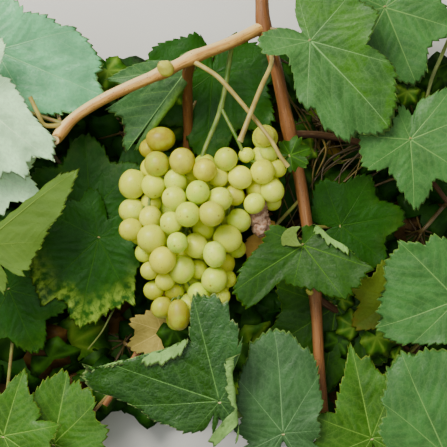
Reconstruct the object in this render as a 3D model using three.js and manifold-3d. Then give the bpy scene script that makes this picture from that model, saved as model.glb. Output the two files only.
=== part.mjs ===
// A cut length of grapevine laid on its back: a ripening bunch of white grapes, the canes that
// carry it, and the leaves round it. Millimetres, +Z up; the vine's hanging direction is -Y.
import * as THREE from "three";
import { mergeVertices } from "three/addons/utils/BufferGeometryUtils.js";
import Module from "manifold-3d";

const wasm = await Module();
wasm.setup();

const rad = THREE.MathUtils.degToRad;
const lerp = THREE.MathUtils.lerp;

// Driving sizes. PLANT_CENTRE is the middle of the plant's footprint in the drawing below.
const PLANT_CENTRE = [-10.4, -8.4, 1.4];
const GAP = 0.3;
const SLIVER = 0.03;
const BLADE_THICK = 1.6;
const PETIOLE_R = 1.5;
const LATERAL_R = 3.2;
const BERRY_R = [8.4, 11.0];
const CORE_SHARE = 0.62;
const MASS_LEAF = 54;
const CELL = [82, 92];
const SLABS = [9, 27];
const RUN_HEIGHT = 38.4;

// Colours of each finish, as seen on the plant
const TINTS = {
  cane_tan: ["#b98a58", 0.6],
  cane_red: ["#8a5844", 0.65],
  stalk_green: ["#8a9a48", 0.55],
  stalk_straw: ["#c4ad72", 0.6],
  berry: ["#b9bb62", 0.35],
  withered: ["#9a7660", 0.7],
  leaf_sheen: ["#86a98f", 0.4],
  leaf_mid: ["#4f7f4a", 0.5],
  leaf_dark: ["#2c5a30", 0.5],
  leaf_lime: ["#6f9a3c", 0.5],
  leaf_back: ["#8fae5c", 0.6],
  leaf_dry: ["#a8834a", 0.75],
  leaf_olive: ["#7f7f34", 0.6],
};

// A linear congruential generator, so each run draws the same numbers.
function seeded(seed) {
  let state = seed >>> 0;
  return () => {
    state = (Math.imul(state, 1664525) + 1013904223) >>> 0;
    return state / 4294967296;
  };
}

// Limbs. Each is a line of points and a thickness that tapers, with swellings at its nodes.
const LIMBS = {
  cane_main: {
    points: [
      [30.5, 190, 92], [30.5, 174, 92], [32, 156, 90], [41, 128, 83], [52, 78, 74],
      [61, 39, 70], [67, 2, 70], [74, -58, 70], [77.5, -115, 70], [80.5, -152, 70],
    ],
    radii: [5.2, 4.3],
    nodes: [0.1, 0.34, 0.72],
    tint: "cane_red",
  },
  cane_left: {
    points: [
      [32, 156, 90], [4, 141, 101], [-23, 129, 110], [-49, 116, 114], [-91, 97, 115],
      [-115, 82.5, 111], [-124.5, 73, 110], [-129, 66, 113.5], [-130, 64, 119],
    ],
    radii: [4.9, 4.1],
    nodes: [0.33, 0.46, 0.93],
    tint: "cane_tan",
  },
  cane_back: {
    points: [
      [-25, 128, 109], [-28.5, 117, 92], [-29, 92, 64], [-29.5, 61, 49], [-34, 3, 45],
      [-48, -63, 45], [-80, -122, 46], [-98, -150, 47],
    ],
    radii: [4.5, 2.6],
    nodes: [0.55, 0.8],
    tint: "cane_red",
  },
  lateral_left: {
    points: [[-29.5, 58, 49], [-60, 44, 46], [-105, 22, 45], [-145, -14, 45], [-172, -55, 45]],
    radii: [LATERAL_R, 1.9],
    nodes: [0.5],
    tint: "cane_red",
  },
  lateral_right: {
    points: [[53, 72, 74], [84, 72, 54], [128, 62, 46], [165, 42, 45], [190, 12, 45]],
    radii: [LATERAL_R, 1.9],
    nodes: [0.5],
    tint: "cane_red",
  },
  lateral_low: {
    points: [[75, -60, 70], [100, -76, 52], [135, -94, 46], [176, -118, 45]],
    radii: [LATERAL_R, 1.9],
    nodes: [0.5],
    tint: "cane_red",
  },
  peduncle: {
    points: [[7, 143, 99], [4.5, 128, 90], [-2, 92, 89], [-16.5, 54, 88], [-22, 30, 89]],
    radii: [2, 1.8],
    nodes: [0.45],
    tint: "stalk_green",
  },
  wing_stalk: {
    points: [[-2, 92, 89], [6, 76, 92], [12, 64, 94], [19, 51, 93], [31, 47, 91]],
    radii: [1.5, 1.3],
    nodes: [],
    tint: "stalk_green",
  },
  petiole_long: {
    points: [
      [-24, 126, 111], [-16, 121, 115], [-5, 113.5, 117], [5, 103, 118], [21, 84, 119],
      [36.5, 63.5, 123], [44, 50.5, 124], [49.5, 43.5, 123],
    ],
    radii: [1.9, 1.6],
    nodes: [0, 1],
    tint: "stalk_straw",
  },
  petiole_pale: {
    points: [[38, 136, 86], [37.5, 125, 100], [29, 105, 118], [21, 85, 127], [12.5, 62.5, 131]],
    radii: [1.8, 2],
    nodes: [1],
    tint: "stalk_straw",
  },
  petiole_stub: {
    points: [[-126, 76, 112], [-138, 76, 118], [-142, 84, 122], [-148, 97, 124]],
    radii: [1.8, 1.6],
    nodes: [],
    tint: "stalk_straw",
  },
};

// A vine leaf's lobes: direction from the midrib in degrees, length as a share of it, half-width.
const LOBES = [
  [0, 1, 34], [51, 0.86, 34], [-51, 0.86, 34], [103, 0.7, 36], [-103, 0.7, 36],
  [154, 0.5, 22], [-154, 0.5, 22],
];
const LOBE_BLEND = 4;
const LEAF_BODY = 0.6;

// The leaves that the view shows. at: where blade and stalk join. heading: where the midrib points
// in the picture. size: its length. pitch lifts its tip, roll turns the blade about it, and 180
// shows the underside. crease and droop: degrees. margin: its knots. curls are tighter folds, each on
// the lobes between two directions. limb and share: what carries the leaf, and how far along it. via:
// places that the stalk passes.
const LEAVES = [
  { name: "leaf_bottom_folded", at: [-3, -137, 118], heading: 96, pitch: 8, size: 85, crease: 2, droop: 8,
    columns: 40, tint: "leaf_mid", limb: "cane_main", share: 0.9,
    margin:
      "-174 24, -163 24, -152 46, -141 23, -131 56, -122 57, -113 20, -96 22, -73 25, -51 30, "
      + "-39 38, -31 44, -25 62, -24 53, -19 74, -13 76, -11 92, -8 90, -6 94, -4 98, -2 98, "
      + "1 97, 4 99, 8 101, 10 94, 14 78, 19 68, 20 60, 23 79, 27 85, 32 89, 36 88, 42 90, "
      + "51 92, 59 104, 65 114, 68 129, 70 124, 72 127, 74 124, 78 119, 81 97, 85 83, 90 72, "
      + "100 63, 110 50, 128 41, 148 30, 151 14, 163 33, 174 14",
    curls: [
      { at: [0.53, 0.51], toward: 9, radius: 2.2, turn: 165, between: [24, 62] },
      { at: [0.1, -0.12], toward: -90, radius: 2.2, turn: 165, between: [-170, -30] },
    ] },
  { name: "leaf_left_front", at: [-192, 96, 128], heading: -36, size: 76, crease: 5, droop: 12,
    tint: "leaf_sheen", limb: "cane_left", share: 0.9,
    margin:
      "-180 10, -169 29, -156 43, -144 50, -132 36, -122 68, -112 71, -103 35, -89 50, -77 64, "
      + "-64 64, -56 79, -46 77, -38 86, -31 83, -25 87, -21 98, -17 96, -14 86, -7 87, -2 103, "
      + "4 98, 10 92, 11 89, 14 77, 18 68, 23 61, 30 55, 36 52, 45 47, 63 42, 80 34, 92 64, "
      + "103 68, 115 35, 126 60, 136 54, 147 48, 157 30, 169 25" },
  { name: "leaf_left_small", at: [-181, 41, 108], heading: -30, size: 40, crease: 12, droop: 20,
    columns: 14, tint: "leaf_lime", limb: "cane_left", share: 0.97 },
  { name: "leaf_left_underside", at: [-189, -17, 112], heading: 38, roll: 180, size: 98, crease: 0,
    droop: 8, tint: "leaf_back", limb: "lateral_left", share: 0.85,
    margin:
      "-179 8, -167 14, -155 16, -143 44, -132 45, -120 18, -110 44, -99 48, -89 11, -76 43, "
      + "-63 44, -51 49, -38 45, -25 46, -12 54, 1 100, 3 96, 5 91, 8 84, 10 80, 13 76, 17 70, "
      + "22 61, 27 55, 35 51, 45 46, 54 44, 65 44, 69 39, 72 45, 74 42, 76 37, 80 22, 82 26, "
      + "88 35, 101 43, 114 24, 138 18, 148 36, 158 21, 169 21",
    curls: [
      { at: [0, -0.02], toward: -90, radius: 3.4, turn: 160 },
    ] },
  { name: "leaf_top_right", at: [67, 141, 114], heading: -51, size: 91, crease: 13, droop: 10,
    tint: "leaf_sheen", limb: "cane_main", share: 0.1,
    margin:
      "-178 10, -165 10, -151 27, -138 41, -125 45, -111 42, -98 25, -83 26, -66 34, -56 45, "
      + "-51 53, -43 58, -36 58, -33 69, -31 78, -27 78, -25 83, -23 87, -19 92, -16 88, -13 87, "
      + "-9 93, -5 96, 0 101, 4 102, 6 98, 11 95, 15 92, 18 86, 19 60, 22 84, 24 60, 26 80, "
      + "30 79, 34 75, 48 48, 61 54, 74 63, 88 53, 101 65, 115 65, 128 48, 141 39, 155 43, 168 29" },
  { name: "leaf_corner_right", at: [172, -179, 112], heading: 105, size: 84, crease: 4, droop: 12,
    tint: "leaf_mid", limb: "lateral_low", share: 0.92,
    margin:
      "-173 8, -160 25, -146 30, -135 58, -125 59, -114 35, -97 47, -81 46, -69 60, -49 61, "
      + "-45 77, -37 87, -30 86, -22 96, -16 97, -10 97, -5 98, 2 97, 8 102, 11 101, 16 96, "
      + "19 96, 24 86, 28 81, 35 79, 39 66, 52 68, 65 59, 77 46, 90 73, 104 65, 118 60, 132 58, "
      + "145 51, 159 27, 173 8" },
  { name: "leaf_left_large", at: [-101, -12, 69], heading: -102, size: 77, crease: 1, droop: 12,
    tint: "leaf_dark", limb: "lateral_left", share: 0.5,
    margin:
      "-178 35, -167 51, -157 54, -141 44, -129 53, -126 68, -114 62, -105 72, -95 62, -85 69, "
      + "-73 62, -67 77, -58 76, -51 82, -41 86, -34 90, -28 95, -24 78, -14 78, -8 90, -4 94, "
      + "0 100, 2 95, 8 89, 10 92, 13 83, 16 83, 20 77, 29 77, 34 72, 40 82, 44 71, 49 65, "
      + "58 54, 74 52, 87 38, 107 48, 125 40, 138 55, 150 40, 154 29, 168 22" },
  { name: "leaf_right_folded", at: [62, -17, 106], heading: -54, size: 52, crease: 0, droop: 10,
    columns: 36, tint: "leaf_mid", limb: "cane_main", share: 0.61,
    margin:
      "-167 52, -159 56, -147 58, -130 61, -119 74, -113 85, -107 98, -101 108, -95 120, "
      + "-92 127, -85 128, -78 128, -75 116, -71 83, -69 69, -65 61, -49 64, -35 64, -23 67, "
      + "-15 76, -10 85, -3 93, 2 103, 9 101, 13 98, 17 105, 25 100, 32 105, 36 111, 49 70, "
      + "62 86, 75 64, 89 64, 102 64, 115 60, 128 61, 141 52, 154 42, 167 24, 180 11",
    curls: [
      { at: [0.18, 0.42], toward: 112, radius: 2, turn: 165, between: [28, 116] },
      { at: [-0.02, -0.03], toward: 54, radius: 2.4, turn: 165, between: [116, 186] },
      { at: [0, 0], toward: 10, radius: 5, turn: 20 },
    ] },
  { name: "leaf_top_left", at: [-178, 135, 103], heading: -22, size: 90, crease: 5, droop: 6,
    tint: "leaf_sheen", limb: "cane_left", share: 0.93,
    margin:
      "-173 32, -163 35, -153 45, -142 26, -129 61, -116 36, -103 65, -90 41, -77 50, -64 53, "
      + "-54 61, -45 59, -38 65, -30 70, -27 75, -21 79, -17 87, -15 93, -9 94, -5 99, -1 102, "
      + "1 101, 4 96, 7 92, 10 94, 12 99, 16 101, 19 100, 25 96, 31 87, 40 75, 43 61, 59 52, "
      + "74 37, 98 30, 110 68, 122 63, 134 21, 151 31, 163 35, 175 15",
    via: [[-166, 124, 88], [-134, 92, 90]] },
  { name: "leaf_behind_cane", at: [-26.5, 124.4, 93], heading: -125, size: 94, crease: 0, droop: 12,
    tint: "leaf_sheen", limb: "cane_left", share: 0.3,
    margin:
      "-168 12, -154 12, -140 12, -127 12, -113 12, -100 12, -86 12, -73 12, -59 40, -46 71, "
      + "-32 44, -30 62, -28 80, -20 73, -15 75, -9 80, -7 87, -2 92, -1 50, 1 87, 3 78, 16 38, "
      + "30 12, 44 12, 57 12, 71 12, 84 12, 98 12, 111 12, 125 12, 138 12, 152 12, 165 12, 179 12",
    curls: [
      { at: [0, 0.03], toward: 90, radius: 2.2, turn: -165 },
    ] },
  { name: "leaf_far_right", at: [147, 66, 98], heading: -83, size: 59, crease: 7, droop: 12,
    tint: "leaf_mid", limb: "lateral_right", share: 0.6,
    margin:
      "-176 44, -168 48, -164 47, -159 36, -146 38, -133 30, -111 35, -104 55, -101 71, "
      + "-90 69, -83 73, -76 71, -69 75, -62 70, -53 60, -47 48, -37 54, -27 56, -22 69, -13 73, "
      + "-12 82, -8 84, -4 94, 1 91, 8 84, 15 73, 22 63, 29 65, 38 87, 54 90, 64 80, 79 85, "
      + "93 80, 103 93, 119 90, 137 86, 143 71, 152 61, 161 54, 164 41, 168 32" },
  { name: "leaf_right_low", at: [183, -60, 104], heading: -172, size: 65, crease: 4, droop: 12,
    tint: "leaf_mid", limb: "lateral_low", share: 0.8,
    margin:
      "-166 32, -155 46, -131 46, -124 63, -109 76, -99 70, -89 75, -82 79, -77 86, -73 83, "
      + "-67 78, -64 86, -57 93, -53 102, -50 96, -45 98, -42 96, -37 99, -33 98, -28 95, "
      + "-21 88, -14 91, -9 94, -4 93, 0 99, 6 94, 9 100, 11 104, 16 99, 20 99, 23 94, 30 88, "
      + "35 76, 42 71, 52 60, 68 54, 86 56, 106 56, 127 50, 133 35, 147 51, 160 31, 176 22" },
  { name: "leaf_bottom_round", at: [47, -165, 97], heading: 94, size: 84, crease: 3, droop: 10,
    tint: "leaf_sheen", limb: "cane_main", share: 0.97,
    margin:
      "-177 8, -164 15, -152 36, -139 25, -125 58, -112 29, -89 36, -68 35, -58 47, -45 53, "
      + "-37 62, -31 70, -28 75, -25 79, -20 82, -16 83, -11 91, -7 93, -5 96, 1 98, 6 96, "
      + "12 92, 17 89, 19 83, 22 78, 30 71, 35 67, 43 58, 55 53, 64 41, 82 44, 102 33, 112 56, "
      + "122 58, 131 27, 144 47, 157 27, 170 8" },
  { name: "leaf_bottom_light", at: [118, -171, 84], heading: 104, size: 77, crease: 10, droop: 10,
    tint: "leaf_lime", limb: "lateral_low", share: 0.45,
    margin:
      "-166 27, -152 43, -138 53, -125 60, -111 66, -97 65, -83 49, -62 43, -51 56, -37 63, "
      + "-28 66, -22 69, -15 76, -13 86, -6 83, -4 88, -2 101, 0 97, 2 89, 10 71, 15 67, 20 59, "
      + "41 46, 55 68, 69 60, 83 62, 97 67, 111 64, 124 59, 138 53, 152 43, 166 27, 180 9" },
  { name: "leaf_top_right_rear", at: [128, 171, 90], heading: -67, size: 63, crease: 5, droop: 8,
    columns: 14, tint: "leaf_mid", limb: "lateral_right", share: 0.35 },
  { name: "leaf_corner_left", at: [-176, -170, 80], heading: 72, size: 58, crease: 12, droop: 10,
    columns: 14, tint: "leaf_lime", limb: "lateral_left", share: 0.98,
    margin:
      "-172 26, -158 49, -144 53, -130 60, -116 72, -102 78, -89 71, -75 69, -61 85, -47 52, "
      + "-37 63, -23 66, -10 72, -7 81, -3 90, 1 98, 4 90, 9 80, 14 72, 16 63, 35 52, 49 90, "
      + "63 83, 77 68, 91 73, 105 78, 118 70, 132 59, 146 53, 160 47, 174 22" },
  { name: "leaf_low_left", at: [-138, -179, 64], heading: 80, size: 61, crease: 12, droop: 10,
    columns: 14, tint: "leaf_lime", limb: "cane_back", share: 0.93,
    margin:
      "-174 21, -161 46, -147 53, -134 58, -120 68, -107 77, -93 75, -80 67, -66 78, -53 69, "
      + "-41 71, -35 82, -24 89, -17 82, -14 88, -11 91, -9 86, -5 81, -2 93, 0 99, 8 94, 13 88, "
      + "15 90, 22 82, 29 76, 37 69, 50 59, 64 81, 77 68, 91 73, 104 78, 118 70, 131 59, 145 53, "
      + "159 49, 172 26" },
  { name: "leaf_shoot_scrap", at: [52, 53, 108], heading: 20, size: 17, crease: 10, droop: 20,
    columns: 14, tint: "leaf_dark", limb: "cane_main", share: 0.4 },
  { name: "leaf_dry_bunch", at: [40, -5, 66], heading: -129, size: 33, crease: 14, droop: 20, columns: 14,
    tint: "leaf_dry", limb: "cane_main", share: 0.5,
    margin:
      "-180 8, -130 25, -90 36, -62 50, -40 50, -22 82, 0 100, 20 80, 42 55, 70 45, 100 30, "
      + "140 20" },
  { name: "leaf_dry_low", at: [-50, -88, 62], heading: -152, size: 30, crease: 14, droop: 16, columns: 14,
    tint: "leaf_dry", limb: "cane_back", share: 0.78 },
  { name: "leaf_left_upper", at: [-109, 8, 61], heading: 94, size: 63, crease: 4, droop: 5, columns: 14,
    tint: "leaf_dark", limb: "lateral_left", share: 0.33 },
  { name: "leaf_left_low", at: [-175, -54, 60], heading: -66, size: 55, crease: 4, droop: 6, columns: 14,
    tint: "leaf_dark", limb: "lateral_left", share: 0.9 },
  { name: "leaf_right_dark", at: [96, -2, 60], heading: 10, size: 52, crease: 4, droop: 5, columns: 14,
    tint: "leaf_dark", limb: "cane_main", share: 0.57 },
  { name: "leaf_cane_foot", at: [92, -68, 58], heading: -99, size: 67, crease: 3, droop: 3, columns: 14,
    tint: "leaf_dark", limb: "cane_main", share: 0.75 },
  { name: "leaf_behind_bunch", at: [-87, 31, 54], heading: -83, size: 70, crease: 3, droop: 4,
    columns: 14, tint: "leaf_dark", limb: "lateral_left", share: 0.28 },
  { name: "leaf_behind_stalks", at: [-9, 122, 58], heading: -93, size: 70, crease: 4, droop: 4,
    columns: 14, tint: "leaf_dark", limb: "cane_back", share: 0.2 },
  { name: "leaf_olive", at: [139, -60, 66], heading: -145, size: 40, crease: 10, droop: 6, columns: 14,
    tint: "leaf_olive", limb: "lateral_low", share: 0.3 },
];

// The bunch's envelope: pods, each a tapering capsule from one point to the other.
const PODS = [
  { from: [-27, 12, 91], to: [-36, -62, 91], radii: [44, 19], berries: 18, wing: false },
  { from: [-52, 58, 93], to: [-56, 32, 93], radii: [13, 22], berries: 3, wing: false },
  { from: [-56, 24, 91], to: [-58, -6, 91], radii: [22, 20], berries: 4, wing: false },
  { from: [0, 44, 93], to: [4, -4, 91], radii: [17, 20], berries: 6, wing: false },
  { from: [2, -14, 90], to: [-6, -46, 90], radii: [17, 15], berries: 4, wing: false },
  { from: [33, 66, 91], to: [36, 26, 89], radii: [12, 14], berries: 4, wing: true },
];
const DEPTH_SHARE = 0.86;
const PACKING = { rounds: 140, touch: 1.05, hold: 0.6, depth: 1.7, ceiling: 84, seed: 11 };

// The berries that the view shows: place and size.
const LANDMARKS = [
  [-49.6, 66.5, 95, 9.5], [-58.5, 60.5, 84, 8.6], [-52.3, 46.8, 99.6, 9.8],
  [-32.1, 48.6, 105.7, 9.9], [-14.5, 41.4, 109, 9], [1.9, 50.4, 99.5, 9], [13.1, 36.4, 96.5, 9.2],
  [-72.1, 31.4, 87.5, 10.8], [-55.1, 29.6, 95.5, 9.5], [-37.4, 33.1, 98.9, 9.1],
  [-19.9, 24.1, 113.5, 9], [-4, 36.4, 95.5, 7.9], [-38.2, 19.5, 110.2, 9.3],
  [-3.2, 18.8, 106.5, 9.4], [8.2, 22.3, 90.9, 7.9], [-57.7, 16.9, 82.9, 8.3],
  [-69.5, 12.1, 74.9, 7.7], [-27.4, 7, 118, 9.6], [-9.3, 7.4, 118.5, 9.6], [-40.6, 0.8, 109, 8.6],
  [-57.9, 4.8, 93.2, 8.7], [-73, -4.7, 97.2, 8.8], [11.9, 2.4, 89.1, 9.2], [3.2, 3.3, 77.1, 6.8],
  [-15.9, -4.7, 90.7, 8.3], [-56.3, -11.8, 100.9, 11], [-35.6, -14.7, 116.5, 8],
  [-21.6, -17.3, 99.8, 9.4], [3.1, -11.8, 96.9, 10.6], [10.4, -20, 84.4, 7.2],
  [-7.1, -23.9, 105.4, 8.8], [-47.4, -28.6, 106.5, 10.3], [-62.8, -23, 90.1, 7.2],
  [-32.7, -35.9, 97.6, 9.8], [-20.3, -36.6, 87.2, 7.7], [-7.1, -44.1, 97.7, 10.3],
  [3.2, -43.9, 85.7, 6.7], [-58.1, -37.1, 95.3, 7.1], [-45.9, -45, 95.5, 7.6],
  [-55.3, -52.8, 88.4, 7.6], [-39.2, -53.5, 85.9, 8], [-19.8, -55, 93.5, 8.2],
  [-1.1, -57.1, 91.8, 6.4], [-48.4, -66.5, 93.6, 8.4], [-35, -71.6, 100.4, 8.7],
  [-27.6, 36.7, 88.5, 6.7], [18.2, 54.1, 91, 6],
].map(([x, y, z, radius]) => ({ place: [x, y, z], radius, wing: false }));
const WING_LANDMARKS = [
  [30.8, 40.8, 96.3, 9.5], [32.8, 68.7, 96.8, 8.2], [35.8, 56.5, 89.4, 7.5],
  [42.6, 43.9, 86.8, 7.2], [38.6, 26.3, 90.9, 9.2], [39.1, 17.7, 78.2, 7.2], [24.2, 15.9, 92.8, 7.9],
].map(([x, y, z, radius]) => ({ place: [x, y, z], radius, wing: true }));
// Places in LANDMARKS of the berries that touch no other.
const STALKED = [4, 10, 26, 46];
const WITHERED = { from: [26, 13, 82], to: [30, -2, 80], radius: 7.4, berries: 3 };

// A three.js geometry as a solid.
function solidOf(geometry) {
  const bare = geometry.clone();
  bare.deleteAttribute("normal");
  bare.deleteAttribute("uv");
  const merged = mergeVertices(bare, 1e-4);
  return new wasm.Manifold(
    new wasm.Mesh({
      numProp: 3,
      vertProperties: new Float32Array(merged.attributes.position.array),
      triVerts: new Uint32Array(merged.index.array),
    }),
  );
}

function geometryOf(solid) {
  const mesh = solid.getMesh();
  const geometry = new THREE.BufferGeometry();
  geometry.setAttribute("position", new THREE.BufferAttribute(mesh.vertProperties, 3));
  geometry.setIndex(new THREE.BufferAttribute(mesh.triVerts, 1));
  geometry.computeVertexNormals();
  return geometry;
}

function curveOf(points) {
  return new THREE.CatmullRomCurve3(
    points.map((p) => new THREE.Vector3(...p)),
    false,
    "centripetal",
  );
}

// A tapering limb: a closed cylinder whose rings are carried along a curve.
function limb(points, radiusAt, sides, steps) {
  const curve = curveOf(points);
  const frames = curve.computeFrenetFrames(steps, false);
  const shape = new THREE.CylinderGeometry(1, 1, 1, sides, steps);
  const at = shape.attributes.position;
  for (let i = 0; i < at.count; i++) {
    const step = Math.round((0.5 - at.getY(i)) * steps);
    const radius = radiusAt(step / steps);
    const place = curve
      .getPointAt(step / steps)
      .addScaledVector(frames.normals[step], at.getX(i) * radius)
      .addScaledVector(frames.binormals[step], at.getZ(i) * radius);
    at.setXYZ(i, place.x, place.y, place.z);
  }
  return solidOf(shape);
}

// Taper from base to tip, with a rounded swelling at each node.
function limbRadius(spec, grow) {
  return (t) => {
    let radius = lerp(spec.radii[0], spec.radii[1], t);
    for (const node of spec.nodes) radius += 0.22 * radius * Math.exp(-(((t - node) / 0.035) ** 2));
    return radius + grow;
  };
}

function limbSolid(spec, grow, sides, steps) {
  return limb(spec.points, limbRadius(spec, grow), sides, steps);
}

// A margin's knots, written as pairs of degrees from the midrib and hundredths of the leaf's length.
function knotsOf(leaf) {
  leaf.knots ??= leaf.margin.split(",").map((pair) => pair.trim().split(" ").map(Number));
  return leaf.knots;
}

// The reach between a margin's knots, straight from one to the next and round the stalk.
function reachOf(leaf, phi) {
  const knots = knotsOf(leaf);
  const degrees = THREE.MathUtils.radToDeg(phi);
  let k = knots.findIndex(([angle]) => angle > degrees);
  if (k < 0) k = knots.length;
  const [a, ra] = k > 0 ? knots[k - 1] : [knots.at(-1)[0] - 360, knots.at(-1)[1]];
  const [b, rb] = k < knots.length ? knots[k] : [knots[0][0] + 360, knots[0][1]];
  return lerp(ra, rb, (degrees - a) / (b - a)) / 100;
}

// How far the leaf's outline reaches at an angle: the margin's knots, or a power mean of the leaf's
// round body, which is open at the stalk, and bell-shaped lobes. Teeth stand on it.
function outline(leaf, phi, teeth) {
  const turn = (phi / (2 * Math.PI)) * teeth + 0.5;
  const tooth = 1 + 0.055 * (1 - 4 * Math.abs(turn - Math.floor(turn) - 0.5));
  if (leaf.margin) return Math.max(reachOf(leaf, phi) * tooth, 0.08);
  const open = 1 - Math.exp(-(((Math.PI - Math.abs(phi)) / 0.5) ** 2));
  let sum = (LEAF_BODY * open) ** LOBE_BLEND;
  for (const [angle, length, width] of LOBES) {
    let away = phi - rad(angle);
    away -= 2 * Math.PI * Math.round(away / (2 * Math.PI));
    sum += (length * Math.exp(-((away / rad(width)) ** 2))) ** LOBE_BLEND;
  }
  return Math.max(sum ** (1 / LOBE_BLEND) * tooth, 0.08);
}

// Rolls what lies beyond a line on the blade round a cylinder, up for a positive turn.
function rollBeyond(p, ax, ay, toward, radius, turn) {
  const ex = Math.cos(toward);
  const ey = Math.sin(toward);
  const beyond = (p.x - ax) * ex + (p.y - ay) * ey;
  if (beyond <= 0 || turn === 0) return;
  const up = Math.sign(turn);
  const angle = Math.min(beyond / radius, Math.abs(turn));
  const rest = beyond - angle * radius;
  const arm = radius - p.z * up;
  const along = arm * Math.sin(angle) + rest * Math.cos(angle);
  p.z = up * (radius - arm * Math.cos(angle) + rest * Math.sin(angle));
  p.x += (along - beyond) * ex;
  p.y += (along - beyond) * ey;
}

// One inside the two directions that a curl lies between, none outside, with a soft step between.
function within(phi, between) {
  if (!between) return 1;
  const degrees = THREE.MathUtils.radToDeg(phi);
  const inside = (d) => Math.min(d - between[0], between[1] - d);
  return THREE.MathUtils.smoothstep(Math.max(inside(degrees), inside(degrees + 360)), -3, 3);
}

// The leaf's own axes in space: along the midrib, across it to the left, and out of its upper side.
function leafAxes(leaf) {
  const heading = rad(leaf.heading);
  const along = new THREE.Vector3(Math.cos(heading), Math.sin(heading), 0);
  const across = new THREE.Vector3(-Math.sin(heading), Math.cos(heading), 0);
  const out = new THREE.Vector3(0, 0, 1);
  along.applyAxisAngle(across, -rad(leaf.pitch ?? 0));
  out.applyAxisAngle(across, -rad(leaf.pitch ?? 0));
  across.applyAxisAngle(along, rad(leaf.roll ?? 0));
  out.applyAxisAngle(along, rad(leaf.roll ?? 0));
  return { along, across, out };
}

// A point of the blade: angle round the junction, share of the way to the margin, height in it.
function bladePoint(leaf, phi, share, height, teeth, grow) {
  const size = leaf.size;
  const reach = (outline(leaf, phi, teeth) * size + grow) * share;
  const p = new THREE.Vector3(reach * Math.cos(phi), reach * Math.sin(phi), height);
  p.z += (leaf.wave ?? 0.02) * size * share ** 2 * Math.sin(5 * phi + size);
  for (const curl of leaf.curls ?? []) {
    const turn = rad(curl.turn) * within(phi, curl.between);
    rollBeyond(p, curl.at[0] * size, curl.at[1] * size, rad(curl.toward), curl.radius, turn);
  }
  for (const side of [90, -90]) rollBeyond(p, 0, 0, rad(side), 9, rad(leaf.crease));
  for (const end of [0, 180]) rollBeyond(p, 0, 0, rad(end), size / rad(leaf.droop), -rad(leaf.droop));
  return p;
}

// A blade is a sphere's grid pressed flat: its poles are the junction and its equator the margin.
function blade(leaf, columns, rings, grow) {
  const rows = 2 * rings + 1;
  const shape = new THREE.SphereGeometry(1, columns, rows);
  const at = shape.attributes.position;
  const { along, across, out } = leafAxes(leaf);
  const origin = new THREE.Vector3(...leaf.at);
  for (let i = 0; i < at.count; i++) {
    const row = Math.floor(i / (columns + 1));
    const upper = row <= rings;
    const share = (upper ? row : rows - row) / rings;
    const phi = share && (((i % (columns + 1)) % columns) / columns) * 2 * Math.PI - Math.PI;
    const height = (upper ? 1 : -1) * (BLADE_THICK / 2 + grow);
    const p = bladePoint(leaf, phi, share, height, columns / 2, grow);
    const place = origin.clone().addScaledVector(along, p.x).addScaledVector(across, p.y).addScaledVector(out, p.z);
    at.setXYZ(i, place.x, place.y, place.z);
  }
  return solidOf(shape);
}

function pointOnLimb(name, share) {
  return curveOf(LIMBS[name].points).getPointAt(share);
}

// A leaf stalk leaves the blade's underside and bends to the limb that carries it.
function petiolePoints(leaf) {
  const start = new THREE.Vector3(...leaf.at);
  const end = pointOnLimb(leaf.limb, leaf.share);
  const { along, out } = leafAxes(leaf);
  const length = start.distanceTo(end);
  const bend = start.clone().addScaledVector(out, -0.16 * length).addScaledVector(along, -0.14 * length);
  return [start.toArray(), ...(leaf.via ?? [bend.toArray()]), end.toArray()];
}

function leafBlade(leaf, grow) {
  const columns = leaf.columns ?? 26;
  return blade(leaf, columns, leaf.curls ? 2 : 1, grow);
}

function leafStalk(leaf, grow) {
  return limb(petiolePoints(leaf), (t) => PETIOLE_R * lerp(0.85, 1.2, t) + grow, 4, 3);
}

// The seen berries don't move. Behind them, others scattered in the back of the pods push one
// another apart, and stay in a layer under the bunch's envelope.
function packBerries() {
  const random = seeded(PACKING.seed);
  const berries = [...LANDMARKS, ...WING_LANDMARKS].map((mark) => ({
    ...mark,
    place: new THREE.Vector3(...mark.place),
    fixed: true,
  }));
  for (const pod of PODS)
    for (let i = 0; i < pod.berries; i++) {
      const t = random();
      const spread = lerp(pod.radii[0], pod.radii[1], t) * 0.75;
      const turn = Math.PI * (1 + random());
      const place = new THREE.Vector3(...pod.from).lerp(new THREE.Vector3(...pod.to), t);
      place.x += spread * Math.cos(turn);
      place.z += spread * Math.sin(turn) * DEPTH_SHARE;
      berries.push({ place, radius: lerp(BERRY_R[0], BERRY_R[1], random()), wing: pod.wing });
    }
  for (let round = 0; round < PACKING.rounds; round++) {
    berries.forEach((a, i) => berries.slice(i + 1).forEach((b) => pushApart(a, b)));
    for (const berry of berries)
      if (!berry.fixed) {
        keepInLayer(berry);
        berry.place.z = Math.min(berry.place.z, PACKING.ceiling);
      }
  }
  return berries;
}

function pushApart(a, b) {
  const apart = b.place.clone().sub(a.place);
  const short = (a.radius + b.radius) * (a.wing === b.wing ? PACKING.touch : 1.03) - apart.length();
  if (short <= 0 || (a.fixed && b.fixed)) return;
  apart.setLength(short);
  if (!a.fixed) a.place.addScaledVector(apart, b.fixed ? -1 : -0.5);
  if (!b.fixed) b.place.addScaledVector(apart, a.fixed ? 1 : 0.5);
}

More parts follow.
